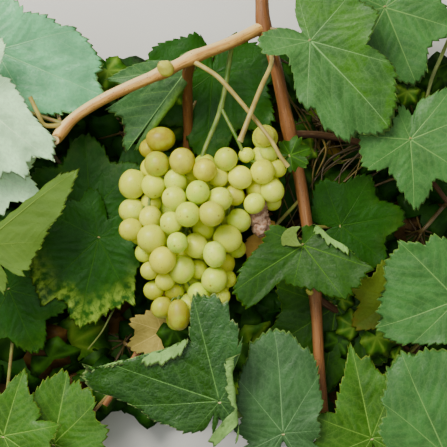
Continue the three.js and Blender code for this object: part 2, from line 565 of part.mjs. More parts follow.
// Draws a berry that stands outside its bunch's envelope in, and one that lies too deep out.
function keepInLayer(berry) {
  let best = null;
  for (const pod of PODS) {
    if (pod.wing !== berry.wing) continue;
    const from = new THREE.Vector3(...pod.from);
    const axis = new THREE.Vector3(...pod.to).sub(from);
    const t = Math.min(Math.max(berry.place.clone().sub(from).dot(axis) / axis.lengthSq(), 0), 1);
    const away = berry.place.clone().sub(from.addScaledVector(axis, t));
    away.z /= DEPTH_SHARE;
    const outside = away.length() + berry.radius - lerp(pod.radii[0], pod.radii[1], t);
    if (!best || outside < best.outside) best = { outside, away };
  }
  const deep = best.outside + (PACKING.depth - 1) * berry.radius;
  const move = best.outside > 0 ? best.outside : Math.min(deep, 0) * 0.5;
  if (move === 0) return;
  best.away.setLength(1).multiplyScalar(move * PACKING.hold);
  best.away.z *= DEPTH_SHARE;
  berry.place.sub(best.away);
}

function berrySolid(berry, grow) {
  const shape = new THREE.IcosahedronGeometry((berry.radius + grow) * 1.08, 0);
  shape.rotateX(berry.place.x).rotateY(berry.place.y);
  shape.translate(berry.place.x, berry.place.y, berry.place.z);
  return solidOf(shape);
}

// The inner stalks of a bunch with the berries that hide them, as a thick tapering core.
function coreSolid(pod, grow) {
  const radius = (t) => CORE_SHARE * lerp(pod.radii[0], pod.radii[1], t) + grow;
  return limb([pod.from, pod.to], radius, 7, 1);
}

function largest(solid) {
  return solid.decompose().sort((a, b) => b.volume() - a.volume())[0];
}

const berries = packBerries();

// The stub stalk of a berry that touches no other, from the nearest place on its pod's axis.
function berryStalk(berry, grow) {
  const roots = PODS.filter((pod) => pod.wing === berry.wing).map((pod) => {
    const axis = new THREE.Line3(new THREE.Vector3(...pod.from), new THREE.Vector3(...pod.to));
    return axis.closestPointToPoint(berry.place, true, new THREE.Vector3());
  });
  roots.sort((a, b) => a.distanceTo(berry.place) - b.distanceTo(berry.place));
  return limb([roots[0].toArray(), berry.place.toArray()], () => 1.6 + grow, 4, 1);
}

function bunchSolid(wing, stalk, grow) {
  const parts = berries.filter((b) => b.wing === wing).map((b) => berrySolid(b, grow));
  for (const i of STALKED) if (berries[i].wing === wing) parts.push(berryStalk(berries[i], grow));
  for (const pod of PODS) if (pod.wing === wing) parts.push(coreSolid(pod, grow));
  parts.push(limbSolid(stalk, grow, 6, 8));
  return largest(wasm.Manifold.union(parts));
}

// Shrivelled berries on a stalk of their own, between the bunch and its wing.
function witheredSolid(grow) {
  const parts = [limb([[33, 46, 86], [26, 32, 82], WITHERED.from, WITHERED.to], () => 1.6 + grow, 5, 5)];
  for (let i = 0; i < WITHERED.berries; i++) {
    const t = i / (WITHERED.berries - 1);
    const place = new THREE.Vector3(...WITHERED.from).lerp(new THREE.Vector3(...WITHERED.to), t);
    parts.push(berrySolid({ place, radius: WITHERED.radius * (1 - 0.08 * i) }, grow));
  }
  return wasm.Manifold.union(parts);
}

// The leafy undergrowth of the shoot: cells on a grid, by turns in a lower and an upper slab. Each
// is a stem from the nearest limb and three leaves round its end.
function massCells() {
  const cells = [];
  for (let column = -2; column <= 2; column++)
    for (let row = -1; row <= 1; row++) {
      const level = (column + row + 4) % 2;
      cells.push({
        name: `foliage_${"abcde"[column + 2]}${row + 2}`,
        centre: [column * CELL[0], row * CELL[1] - 8, SLABS[level]],
        seed: 100 + 10 * column + row,
      });
    }
  return cells;
}

// The place on a low-lying limb that is nearest to a mass.
function nearestLimbPoint(target) {
  let best = null;
  for (const name of ["cane_main", "cane_back", "lateral_left", "lateral_right", "lateral_low"])
    for (let share = 0.3; share <= 0.96; share += 0.06) {
      const place = pointOnLimb(name, share);
      const distance = place.distanceTo(target);
      if (place.z < 71 && (!best || distance < best.distance)) best = { place, distance };
    }
  return best.place;
}

// The three leaves of a cell, one above another, turned by a seeded rule away from its middle.
function massLeaves(cell) {
  const random = seeded(cell.seed);
  const first = random() * 360;
  return [0, 1, 2].map((k) => {
    const heading = first + 120 * k + 30 * (random() - 0.5);
    const [x, y, z] = cell.centre;
    return {
      at: [x - 8 * Math.cos(rad(heading + 13)), y - 8 * Math.sin(rad(heading + 13)), z - 5 + 5 * k],
      heading,
      size: MASS_LEAF * (0.9 + 0.2 * random()),
      crease: 1,
      droop: 2,
      wave: 0.012,
    };
  });
}

// A mass's stem leaves its limb, runs level under the canes and drops to the cell's middle.
function massStem(cell, grow) {
  const middle = new THREE.Vector3(...cell.centre);
  const root = nearestLimbPoint(middle);
  const run = (share) => [lerp(root.x, middle.x, share), lerp(root.y, middle.y, share), RUN_HEIGHT];
  const foot = [middle.x, middle.y, middle.z - 5.2];
  return limb([root.toArray(), run(0.12), run(0.92), foot], (t) => lerp(1.8, 1.5, t) + grow, 4, 4);
}

function massBlades(cell, grow) {
  return wasm.Manifold.union(massLeaves(cell).map((leaf) => blade(leaf, 14, 1, grow)));
}

// Every piece of the plant, in the order in which one gives way to another: its name and tint,
// then the builders of its wood and of its blades.
function plan() {
  const pieces = [];
  const add = (name, tint, wood, blades) => pieces.push({ name, tint, wood, blades });
  for (const name of ["cane_main", "cane_left", "cane_back"])
    add(name, LIMBS[name].tint, (grow) => limbSolid(LIMBS[name], grow, 8, 13));
  for (const name of ["lateral_left", "lateral_right", "lateral_low"])
    add(name, LIMBS[name].tint, (grow) => limbSolid(LIMBS[name], grow, 6, 9));
  add("bunch_main", "berry", (grow) => bunchSolid(false, LIMBS.peduncle, grow));
  add("bunch_wing", "berry", (grow) => bunchSolid(true, LIMBS.wing_stalk, grow));
  add("withered_berries", "withered", witheredSolid);
  for (const name of ["petiole_long", "petiole_pale", "petiole_stub"])
    add(name, LIMBS[name].tint, (grow) => limbSolid(LIMBS[name], grow, 6, 7));
  for (const leaf of LEAVES)
    add(leaf.name, leaf.tint, (grow) => leafStalk(leaf, grow), (grow) => leafBlade(leaf, grow));
  for (const cell of massCells())
    add(cell.name, "leaf_dark", (grow) => massStem(cell, grow), (grow) => massBlades(cell, grow));
  return pieces;
}

function boxesMeet(a, b) {
  return [0, 1, 2].every((i) => a.min[i] < b.max[i] && b.min[i] < a.max[i]);
}

// Cuts a solid clear of others, each given GAP larger than it is.
function clearOf(solid, others) {
  for (const other of others)
    if (other && boxesMeet(solid.boundingBox(), other.boundingBox())) solid = solid.subtract(other);
  return solid;
}

// Builds the pieces. Wood is cut clear of the wood before it, and blades of all wood but their own
// and of the blades before them.
function growPlant() {
  const group = new THREE.Group();
  const pieces = plan();
  const wideWood = pieces.map((piece) => piece.wood(GAP));
  const wideBlades = pieces.map((piece) => piece.blades?.(GAP));
  pieces.forEach((piece, i) => {
    let solid = clearOf(piece.wood(0), wideWood.slice(0, i));
    if (piece.blades) {
      const others = wideWood.filter((_, k) => k !== i);
      solid = solid.add(clearOf(piece.blades(0), [...others, ...wideBlades.slice(0, i)]));
    }
    const [colour, roughness] = TINTS[piece.tint];
    const material = new THREE.MeshStandardMaterial({ color: colour, roughness, metalness: 0 });
    const mesh = new THREE.Mesh(geometryOf(largest(solid.simplify(SLIVER))), material);
    mesh.name = piece.name;
    group.add(mesh);
  });
  group.position.set(-PLANT_CENTRE[0], -PLANT_CENTRE[1], -PLANT_CENTRE[2]);
  return group;
}

export default growPlant();
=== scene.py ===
"""Dresses the frame of a fruiting grapevine branch, and lights it for one view from above.

The branch lies on its back: +Z is up, and the vine's hanging direction is -Y. The drawing is in
millimetres, and a finished piece is in metres round the middle of the plant.
"""

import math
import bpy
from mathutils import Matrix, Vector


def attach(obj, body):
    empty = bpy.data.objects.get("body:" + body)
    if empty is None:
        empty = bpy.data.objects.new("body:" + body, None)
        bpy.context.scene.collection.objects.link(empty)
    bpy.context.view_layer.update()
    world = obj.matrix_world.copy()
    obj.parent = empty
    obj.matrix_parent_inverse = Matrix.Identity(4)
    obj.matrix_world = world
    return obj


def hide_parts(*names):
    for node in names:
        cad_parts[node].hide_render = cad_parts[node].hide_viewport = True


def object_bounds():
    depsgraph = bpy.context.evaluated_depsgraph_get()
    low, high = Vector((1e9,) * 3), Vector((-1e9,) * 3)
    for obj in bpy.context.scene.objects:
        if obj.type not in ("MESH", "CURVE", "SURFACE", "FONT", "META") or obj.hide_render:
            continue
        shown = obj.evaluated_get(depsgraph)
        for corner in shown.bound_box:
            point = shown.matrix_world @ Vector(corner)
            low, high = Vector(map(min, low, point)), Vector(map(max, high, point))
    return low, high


bl_info = {
    "name": "Grapevine Branch",
    "version": (1, 0, 0),
    "blender": (4, 5, 0),
    "location": "3D View > Sidebar > Grapevine",
    "description": "Canes, leaves, grapes and undergrowth on the frame of a grapevine branch",
    "category": "Add Mesh",
}

import bpy
import numpy as np
from mathutils import Vector

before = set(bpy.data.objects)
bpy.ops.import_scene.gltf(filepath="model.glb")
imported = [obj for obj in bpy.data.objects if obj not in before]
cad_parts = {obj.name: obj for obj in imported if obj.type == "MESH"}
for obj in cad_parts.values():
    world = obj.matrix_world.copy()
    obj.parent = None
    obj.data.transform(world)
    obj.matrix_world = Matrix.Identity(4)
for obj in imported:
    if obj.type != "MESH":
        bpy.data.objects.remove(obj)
CAD_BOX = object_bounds()

# The middle of the plant's box in the drawing
PLANT_CENTRE = np.array([-10.4, -8.4, 1.4])
MM = 0.001
TAU = 2 * math.pi
# The rings of a cut end, as shares of its radius
CUT_RINGS = (0.12, 0.5, 0.9, 1.0)
CAMERA_HEIGHT = 1080
SENSOR_WIDTH = 36
# How many metres wide the view is, one metre from the camera
VIEW_WIDTH = 0.3576
LIGHT_AIM = (0, 0, 0.06)
FLOOR_REACH = 3.0
SEEDS = dict(packing=11, bunch=5, wing=6, withered=9, tendrils=23)

# Canes, laterals and stalks: points, the radius at each end, and the shares of the length where nodes swell
LIMBS = {
    "cane_main": dict(
        points=[(30.5, 190, 92), (30.5, 174, 92), (32, 156, 90), (41, 128, 83), (52, 78, 74),
                (61, 39, 70), (67, 2, 70), (74, -58, 70), (77.5, -115, 70), (80.5, -152, 70)],
        radii=(5.2, 4.3), nodes=[0.1, 0.34, 0.72]),
    "cane_left": dict(
        points=[(32, 156, 90), (4, 141, 101), (-23, 129, 110), (-49, 116, 114), (-91, 97, 115),
                (-115, 82.5, 111), (-124.5, 73, 110), (-129, 66, 113.5), (-130, 64, 119)],
        radii=(4.9, 4.1), nodes=[0.33, 0.46, 0.93]),
    "cane_back": dict(
        points=[(-25, 128, 109), (-28.5, 117, 92), (-29, 92, 64), (-29.5, 61, 49), (-34, 3, 45),
                (-48, -63, 45), (-80, -122, 46), (-98, -150, 47)],
        radii=(4.5, 2.6), nodes=[0.55, 0.8]),
    "lateral_left": dict(
        points=[(-29.5, 58, 49), (-60, 44, 46), (-105, 22, 45), (-145, -14, 45), (-172, -55, 45)],
        radii=(3.2, 1.9), nodes=[0.5]),
    "lateral_right": dict(
        points=[(53, 72, 74), (84, 72, 54), (128, 62, 46), (165, 42, 45), (190, 12, 45)],
        radii=(3.2, 1.9), nodes=[0.5]),
    "lateral_low": dict(
        points=[(75, -60, 70), (100, -76, 52), (135, -94, 46), (176, -118, 45)],
        radii=(3.2, 1.9), nodes=[0.5]),
    "peduncle": dict(
        points=[(7, 143, 99), (4.5, 128, 90), (-2, 92, 89), (-16.5, 54, 88), (-22, 30, 89)],
        radii=(2.0, 1.8), nodes=[0.45]),
    "wing_stalk": dict(
        points=[(-2, 92, 89), (6, 76, 92), (12, 64, 94), (19, 51, 93), (31, 47, 91)],
        radii=(1.5, 1.3), nodes=[]),
    "petiole_long": dict(
        points=[(-24, 126, 111), (-16, 121, 115), (-5, 113.5, 117), (5, 103, 118), (21, 84, 119),
                (36.5, 63.5, 123), (44, 50.5, 124), (49.5, 43.5, 123)],
        radii=(1.9, 1.6), nodes=[0, 1]),
    "petiole_pale": dict(
        points=[(38, 136, 86), (37.5, 125, 100), (29, 105, 118), (21, 85, 127), (12.5, 62.5, 131)],
        radii=(1.8, 2.0), nodes=[1]),
    "petiole_stub": dict(
        points=[(-126, 76, 112), (-138, 76, 118), (-142, 84, 122), (-148, 97, 124)],
        radii=(1.8, 1.6), nodes=[]),
}
# The lobes of a leaf whose margin isn't traced: direction, length and width, in degrees and shares
LOBES = [(0, 1, 34), (51, 0.86, 34), (-51, 0.86, 34), (103, 0.7, 36), (-103, 0.7, 36),
         (154, 0.5, 22), (-154, 0.5, 22)]


def grown(name, at, heading, size, crease, droop, finish, limb, share, **more):
    """One leaf that the view shows: its junction's place, its midrib's way in degrees and its length,
    how far its halves fold up and its ends droop, its finish, and the limb that carries it with the
    share of the limb's length where the stalk leaves. more holds what only some leaves have: pitch
    and roll, the ruffle and the wave of the blade, a share of the teeth's height, places that the
    stalk runs through, another leaf's node, edges that curl, and a traced margin, whose knots are
    degrees from the midrib and hundredths of the length."""
    return dict(more, name="leaf_" + name, at=at, heading=heading, size=size, crease=crease, droop=droop,
                finish=finish, limb=limb, share=share)


LEAVES = [
    grown("bottom_folded", (-3, -137, 118), 96, 85, 2, 8, "fold", "cane_main", 0.9, pitch=8,
          curls=[dict(at=(0.53, 0.51), toward=9, radius=0.9, turn=165, between=(20, 67)),
                 dict(at=(0.1, -0.12), toward=-90, radius=2.2, turn=165, between=(-170, -30))],
          margin="-174 24,-163 24,-152 46,-141 23,-131 56,-122 57,-113 20,-96 22,-73 25,-51 30,-39 38,"
                 "-31 44,-25 62,-24 53,-19 74,-13 76,-11 92,-8 90,-6 94,-4 98,-2 98,1 97,4 99,8 101,"
                 "10 94,14 78,18 69,19.5 60,21 66,24 72,28 78,33 82,37 88,41 88,45 93,48 92,51 96,55 98,"
                 "59 103,65 117,68 129,70 124,72 127,74 124,78 119,81 97,85 83,90 72,100 63,110 50,"
                 "128 41,148 30,151 14,163 33,174 14"),
    grown("left_front", (-192, 96, 128), -36, 76, 5, 12, "front", "cane_left", 0.9,
          margin="-180 10,-169 29,-156 43,-144 50,-132 36,-122 68,-112 71,-103 35,-89 50,-77 64,-64 64,"
                 "-56 79,-46 77,-38 86,-31 83,-25 87,-21 98,-17 96,-14 86,-7 87,-2 103,4 98,10 92,11 89,"
                 "14 77,18 68,23 61,30 55,36 52,45 47,63 42,80 34,92 64,103 68,115 35,126 60,136 54,"
                 "147 48,157 30,169 25"),
    grown("left_small", (-181, 41, 108), -30, 40, 12, 20, "front", "cane_left", 0.97),
    grown("left_underside", (-189, -17, 112), 38, 98, 0, 8, "back", "lateral_left", 0.85, roll=180,
          curls=[dict(at=(0, -0.02), toward=-90, radius=3.4, turn=160)],
          margin="-179 8,-167 14,-155 16,-143 44,-132 45,-120 18,-110 44,-99 48,-89 11,-76 43,-63 44,"
                 "-51 49,-38 45,-25 46,-12 54,1 100,3 96,5 91,8 84,10 80,13 76,17 70,22 61,27 55,35 51,"
                 "45 46,54 44,65 44,69 39,72 45,74 42,76 37,80 22,82 26,88 35,101 43,114 24,138 18,"
                 "148 36,158 21,169 21"),
    grown("top_right", (67, 141, 114), -51, 91, 13, 10, "sheen", "cane_main", 0.1,
          margin="-178 10,-165 10,-151 27,-138 41,-125 45,-111 42,-98 25,-83 26,-66 34,-56 45,-51 53,"
                 "-43 58,-36 58,-33 69,-31 78,-27 78,-25 83,-23 87,-19 92,-16 88,-13 87,-9 93,-5 96,"
                 "0 101,4 102,6 98,11 95,15 92,18 88,20 86,22 85,24 82,26 80,30 79,34 75,48 48,61 54,"
                 "74 63,88 53,101 65,115 65,128 48,141 39,155 43,168 29"),
    grown("corner_right", (172, -179, 112), 105, 84, 4, 12, "open", "lateral_low", 0.92,
          margin="-173 8,-160 25,-146 30,-135 58,-125 59,-114 35,-97 47,-81 46,-69 60,-49 61,-45 77,"
                 "-37 87,-30 86,-22 96,-16 97,-10 97,-5 98,2 97,8 102,11 101,16 96,19 96,24 86,28 81,"
                 "35 79,39 66,52 68,65 59,77 46,90 73,104 65,118 60,132 58,145 51,159 27,173 8"),
    grown("left_large", (-101, -12, 69), -102, 77, 1, 12, "dark", "lateral_left", 0.5,
          margin="-178 35,-167 51,-157 54,-141 44,-129 53,-126 68,-114 62,-105 72,-95 62,-85 69,-73 62,"
                 "-67 77,-58 76,-51 82,-41 86,-34 90,-28 95,-24 78,-14 78,-8 90,-4 94,0 100,2 95,8 89,"
                 "10 92,13 83,16 83,20 77,29 77,34 72,40 82,44 71,49 65,58 54,74 52,87 38,107 48,125 40,"
                 "138 55,150 40,154 29,168 22"),
    grown("right_folded", (62, -17, 106), -54, 52, 0, 10, "deep", "cane_main", 0.61,
          curls=[dict(at=(0.17, 0.395), toward=108, radius=1.4, turn=165, between=(42, 126)),
                 dict(at=(0, 0), toward=10, radius=5, turn=20)],
          margin="-172 34,-166 47,-159 56,-147 58,-130 61,-119 74,-113 85,-107 98,-101 108,-95 120,"
                 "-92 127,-85 128,-78 128,-75 116,-71 83,-69 69,-65 61,-49 64,-35 64,-23 67,-15 76,"
                 "-10 85,-3 93,2 103,9 101,13 98,17 105,25 100,32 105,36 111,39 93,42 79,49 70,55 77,"
                 "62 69,70 61,80 56,90 49,98 52,105 51,112 42,120 34,129 31,141 30,148 29,150 10,160 8,"
                 "176 8,179 32"),
    grown("right_folded_lobe", (46.5, -15.5, 107), 20, 20, 0, 3, "lobe", "cane_main", 0.61,
          node="leaf_right_folded", pitch=24, ruffle=0.3, wave=0, teeth=0.15,
          margin="-170 8,-42 12,-26 78,-13 63,1 61,18 69,22 84,23 99,37 80,52 60,75 34,110 12,150 8"),
    grown("top_left", (-178, 135, 103), -22, 90, 5, 6, "sky", "cane_left", 0.93, via=[(-166, 124, 88),
          (-134, 92, 90)],
          margin="-173 32,-163 35,-153 45,-142 26,-129 61,-116 36,-103 65,-90 41,-77 50,-64 53,-54 61,"
                 "-45 59,-38 65,-30 70,-27 75,-21 79,-17 87,-15 93,-9 94,-5 99,-1 102,1 101,4 96,7 90,"
                 "10 91,12 93,16 93,19 90,25 84,31 78,40 70,43 61,59 52,74 42,98 50,110 66,122 61,"
                 "134 46,151 36,163 35,175 15"),
    grown("behind_cane", (-26.5, 124.4, 93), -125, 94, 0, 12, "turned", "cane_left", 0.3,
          curls=[dict(at=(0, 0.03), toward=90, radius=2.2, turn=-165)],
          margin="-168 12,-154 12,-140 12,-127 12,-113 12,-100 12,-86 12,-73 12,-59 40,-46 71,-32 44,"
                 "-30 62,-28 80,-20 73,-15 75,-9 80,-7 87,-2 92,-1 50,1 87,3 78,16 38,30 12,44 12,57 12,"
                 "71 12,84 12,98 12,111 12,125 12,138 12,152 12,165 12,179 12"),
    grown("far_right", (147, 66, 98), -83, 59, 7, 12, "open", "lateral_right", 0.6,
          margin="-176 44,-168 48,-164 47,-159 36,-146 38,-133 30,-111 35,-104 55,-101 71,-90 69,-83 73,"
                 "-76 71,-69 75,-62 70,-53 60,-47 48,-37 54,-27 56,-22 69,-13 73,-12 82,-8 84,-4 94,"
                 "1 91,8 84,15 73,22 63,29 65,38 87,54 90,64 80,79 85,93 80,103 93,119 90,137 86,143 71,"
                 "152 61,161 54,164 41,168 32"),
    grown("right_low", (183, -60, 104), -172, 65, 4, 12, "open", "lateral_low", 0.8,
          margin="-166 32,-155 46,-131 46,-124 63,-109 76,-99 70,-89 75,-82 79,-77 86,-73 83,-67 78,"
                 "-64 86,-57 93,-53 102,-50 96,-45 98,-42 96,-37 99,-33 98,-28 95,-21 88,-14 91,-9 94,"
                 "-4 93,0 99,6 94,9 100,11 104,16 99,20 99,23 94,30 88,35 76,42 71,52 60,68 54,86 56,"
                 "106 56,127 50,133 35,147 51,160 31,176 22"),
    grown("bottom_round", (47, -165, 97), 94, 84, 3, 10, "cool", "cane_main", 0.97,
          margin="-177 8,-164 15,-152 36,-139 25,-125 58,-112 29,-89 36,-68 35,-58 47,-45 53,-37 62,"
                 "-31 70,-28 75,-25 79,-20 82,-16 83,-11 91,-7 93,-5 96,1 98,6 96,12 92,17 89,19 83,"
                 "22 78,30 71,35 67,43 58,55 53,64 41,82 44,102 33,112 56,122 58,131 27,144 47,157 27,"
                 "170 8"),
    grown("bottom_light", (118, -171, 84), 104, 77, 10, 10, "bright", "lateral_low", 0.45,
          margin="-166 27,-152 43,-138 53,-125 60,-111 66,-97 65,-83 49,-62 43,-51 56,-37 63,-28 66,"
                 "-22 69,-15 76,-13 86,-6 83,-4 88,-2 101,0 97,2 89,10 71,15 67,20 59,41 46,55 68,69 60,"
                 "83 62,97 67,111 64,124 59,138 53,152 43,166 27,180 9"),
    grown("top_right_rear", (128, 171, 90), -67, 63, 5, 8, "open", "lateral_right", 0.35),
    grown("corner_left", (-176, -170, 80), 72, 58, 12, 10, "bright", "lateral_left", 0.98,
          margin="-172 26,-158 49,-144 53,-130 60,-116 72,-102 78,-89 71,-75 69,-61 85,-47 52,-37 63,"
                 "-23 66,-10 72,-7 81,-3 90,1 98,4 90,9 80,14 72,16 63,35 52,49 90,63 83,77 68,91 73,"
                 "105 78,118 70,132 59,146 53,160 47,174 22"),
    grown("low_left", (-138, -179, 64), 80, 61, 12, 10, "bright", "cane_back", 0.93,
          margin="-174 21,-161 46,-147 53,-134 58,-120 68,-107 77,-93 75,-80 67,-66 78,-53 69,-41 71,"
                 "-35 82,-24 89,-17 82,-14 88,-11 91,-9 86,-5 81,-2 93,0 99,8 94,13 88,15 90,22 82,"
                 "29 76,37 69,50 59,64 81,77 68,91 73,104 78,118 70,131 59,145 53,159 49,172 26"),
    grown("shoot_scrap", (52, 53, 108), 20, 17, 10, 20, "deep", "cane_main", 0.4, ruffle=4, wave=0.14),
    grown("dry_bunch", (40, -5, 66), -129, 33, 14, 20, "rust", "cane_main", 0.5,
          margin="-180 8,-130 25,-90 36,-62 50,-40 50,-22 82,0 100,20 80,42 55,70 45,100 30,140 20"),
    grown("dry_low", (-50, -88, 62), -152, 30, 14, 16, "dry", "cane_back", 0.78),
    grown("left_upper", (-109, 8, 61), 94, 63, 4, 5, "dark", "lateral_left", 0.33),
    grown("left_low", (-175, -54, 60), -66, 55, 4, 6, "dark", "lateral_left", 0.9),
    grown("right_dark", (96, -2, 60), 10, 52, 4, 5, "dark", "cane_main", 0.57),
    grown("cane_foot", (92, -68, 58), -99, 67, 3, 3, "deep", "cane_main", 0.75),
    grown("behind_bunch", (-87, 31, 54), -83, 70, 3, 4, "dark", "lateral_left", 0.28),
    grown("behind_stalks", (-9, 122, 58), -93, 70, 4, 4, "dark", "cane_back", 0.2),
    grown("olive", (139, -60, 66), -145, 40, 10, 6, "olive", "lateral_low", 0.3),
]
# The bunch's envelope: capsules whose filler berries are hidden behind the seen ones
PODS = [
    dict(start=(-27, 12, 91), end=(-36, -62, 91), radii=(44, 19), berries=18, wing=False),
    dict(start=(-52, 58, 93), end=(-56, 32, 93), radii=(13, 22), berries=3, wing=False),
    dict(start=(-56, 24, 91), end=(-58, -6, 91), radii=(22, 20), berries=4, wing=False),
    dict(start=(0, 44, 93), end=(4, -4, 91), radii=(17, 20), berries=6, wing=False),
    dict(start=(2, -14, 90), end=(-6, -46, 90), radii=(17, 15), berries=4, wing=False),
    dict(start=(33, 66, 91), end=(36, 26, 89), radii=(12, 14), berries=4, wing=True),
]
# The berries that the view shows: place, radius, ripeness, and the length and direction of a long one
LANDMARKS = [(-49.6, 66.5, 95, 9.5, 0.9, 1.22, 5), (-58.5, 60.5, 84, 8.6, 0.8),
             (-52.3, 46.8, 99.6, 9.8, 0.62), (-32.1, 48.6, 105.7, 9.9, 0.6), (-14.5, 41.4, 109, 9, 0.6),
             (1.9, 50.4, 99.5, 9, 0.3), (13.1, 36.4, 96.5, 9.2, 0.12),
             (-72.1, 31.4, 87.5, 10.8, 0.3, 1.1, 75), (-55.1, 29.6, 95.5, 9.5, 0.12),
             (-37.4, 33.1, 98.9, 9.1, 0.12), (-19.9, 24.1, 113.5, 9, 0.12), (-4, 36.4, 95.5, 7.9, 0.12),
             (-38.2, 19.5, 110.2, 9.3, 0.12), (-3.2, 18.8, 106.5, 9.4, 0.12), (8.2, 22.3, 90.9, 7.9, 0.5),
             (-57.7, 16.9, 82.9, 8.3, 0.3), (-69.5, 12.1, 74.9, 7.7, 0.4), (-27.4, 7, 118, 9.6, 0.12),
             (-9.3, 7.4, 118.5, 9.6, 0.45), (-40.6, 0.8, 109, 8.6, 0.12), (-57.9, 4.8, 93.2, 8.7, 0.25),
             (-73, -4.7, 97.2, 8.8, 0.4), (11.9, 2.4, 89.1, 9.2, 0.12), (3.2, 3.3, 77.1, 6.8, 0.12),
             (-15.9, -4.7, 90.7, 8.3, 0.12), (-56.3, -11.8, 100.9, 11, 0.35, 1.06, 10),
             (-35.6, -14.7, 116.5, 8, 0), (-21.6, -17.3, 99.8, 9.4, 0.12),
             (3.1, -11.8, 96.9, 10.6, 0.12, 1.08, 150), (10.4, -20, 84.4, 7.2, 0.12),
             (-7.1, -23.9, 105.4, 8.8, 0, 1.18, 100), (-47.4, -28.6, 106.5, 10.3, 0.3, 1.04, 60),
             (-62.8, -23, 90.1, 7.2, 0.12), (-32.7, -35.9, 97.6, 9.8, 0.12, 1.15, 75),
             (-20.3, -36.6, 87.2, 7.7, 0.12), (-7.1, -44.1, 97.7, 10.3, 0.12),
             (3.2, -43.9, 85.7, 6.7, 0.12), (-58.1, -37.1, 95.3, 7.1, 0.4), (-45.9, -45, 95.5, 7.6, 0.12),
             (-55.3, -52.8, 88.4, 7.6, 0.5), (-39.2, -53.5, 85.9, 8, 0.6), (-19.8, -55, 93.5, 8.2, 0.12),
             (-1.1, -57.1, 91.8, 6.4, 0), (-48.4, -66.5, 93.6, 8.4, 0.7),
             (-35, -71.6, 100.4, 8.7, 0.8, 1.4, 93), (-27.6, 36.7, 88.5, 6.7, 0.12),
             (18.2, 54.1, 91, 6, 0.12)]
WING_LANDMARKS = [(30.8, 40.8, 96.3, 9.5, 0.12), (32.8, 68.7, 96.8, 8.2, 0.35),
                  (35.8, 56.5, 89.4, 7.5, 0.12), (42.6, 43.9, 86.8, 7.2, 0.12),
                  (38.6, 26.3, 90.9, 9.2, 0.12), (39.1, 17.7, 78.2, 7.2, 0.12), (24.2, 15.9, 92.8, 7.9, 0)]

# The way toward the key light: the bark is painted lighter toward it, as a highlight, and darker away from
# it, as shade
TOWARD_KEY_LIGHT = np.array([-0.45, 0.6, 0.66])
# A pod's depth as a share of its width
DEPTH_SHARE = 0.86
# touch is the wanted distance of two berries in radii, other_touch that of a berry of the bunch from one
# of its wing, hold how firmly the layer keeps a berry in, and depth how many radii the layer is deep
PACKING = dict(rounds=140, touch=1.05, other_touch=1.03, hold=0.6, depth=1.7, ceiling=84)
BERRY_RADII = (8.4, 11.0)
CREASE_RADIUS = 9
# The undergrowth: a cell's sides, the slabs' heights, the height at which the stems run, the length of
# a mass's three leaves, the number and the spread of its finer ones, how high the limbs that carry it
# may lie, and the number of dead tendrils
CELL = (82, 92)
SLABS = (9, 27)
RUN_HEIGHT = 38.4
MASS_LEAF = 54
SPRAY = 24
SPRAY_REACH = 47
GOLDEN_ANGLE = 137.5
LIMB_CEILING = 71
TENDRILS = 28

# Looks of the blades: the slot in the frame, the roughness and gloss, the colours of veins and rim, and
# for some the colour of age, of the underside or of the half that is painted as lying in another light or
# shade
FINISHES = {
    # sky, front and sheen have pale, bluish upper colours that are painted sheen: the sky light's
    # reflection on waxy upper sides
    "sky": dict(slot="leaf_sheen", rough=0.34, gloss=0.4, vein="#8fc48a", rim="#9cc060"),
    "front": dict(slot="leaf_sheen", rough=0.5, gloss=0.4, vein="#cfe8ba", rim="#c3d69c"),
    "sheen": dict(slot="leaf_sheen", rough=0.4, gloss=0.35, vein="#86b468", rim="#84a84c",
                  other="leaf_glow"),
    "cool": dict(slot="leaf_sheen", rough=0.4, gloss=0.35, vein="#76a064", rim="#86a850"),
    # turned paints one half of the leaf behind the cane lime, as painted light that shines through it
    "turned": dict(slot="leaf_sheen", upper="leaf_cool", rough=0.45, gloss=0.3, vein="#86b468",
                   rim="#84a84c", other="leaf_lime"),
    "open": dict(slot="leaf_mid", rough=0.42, gloss=0.35, vein="#7faa58", rim="#86a848"),
    # fold paints one half of the folded leaf in the deep green, as painted shade on the half turned from
    # the light
    "fold": dict(slot="leaf_mid", rough=0.34, gloss=0.4, vein="#6c9a4c", rim="#a9c070", under="#93c064",
                 relief=1.0, other="leaf_deep"),
    "deep": dict(slot="leaf_mid", rough=0.46, gloss=0.25, vein="#4f7c18", rim="#6c9024", under="#93c064"),
    # lobe is painted paler and more yellow than the deep leaf it belongs to, partly as painted light
    # shining through the raised lobe
    "lobe": dict(slot="leaf_mid", rough=0.4, gloss=0.3, vein="#a0b860", rim="#b4cc80"),
    "bright": dict(slot="leaf_lime", rough=0.42, gloss=0.3, vein="#86b046", rim="#a0b048"),
    "dark": dict(slot="leaf_dark", rough=0.45, gloss=0.2, vein="#33600f", rim="#3f6a14", aged="#98b440"),
    "back": dict(slot="leaf_back", rough=0.42, gloss=0.4, vein="#6f8c30", rim="#7c9434"),
    "dry": dict(slot="leaf_dry", rough=0.65, gloss=0.2, vein="#bda75c", rim="#6c5418"),
    # rust is the dead leaf beside the bunch: its own more orange brown, painted brighter than dry as light
    # against the shade it lies in
    "rust": dict(slot="leaf_dry", rough=0.6, gloss=0.2, vein="#d8b860", rim="#7c5c18"),
    "olive": dict(slot="leaf_olive", rough=0.5, gloss=0.2, vein="#6c7c18", rim="#6a7014", aged="#8c6c1c"),
}
# How much the colour of age shows on a leaf, where it isn't a tenth
AGED = {"leaf_left_large": 1.0, "leaf_olive": 0.8}


def linear(code):
    """A hex colour as linear red, green and blue: below 0.04045 a twelfth, above it a power of 2.4."""
    value = np.array([int(code[i : i + 2], 16) for i in (1, 3, 5)]) / 255
    return tuple(np.where(value <= 0.04045, value / 12.92, ((value + 0.055) / 1.055) ** 2.4))


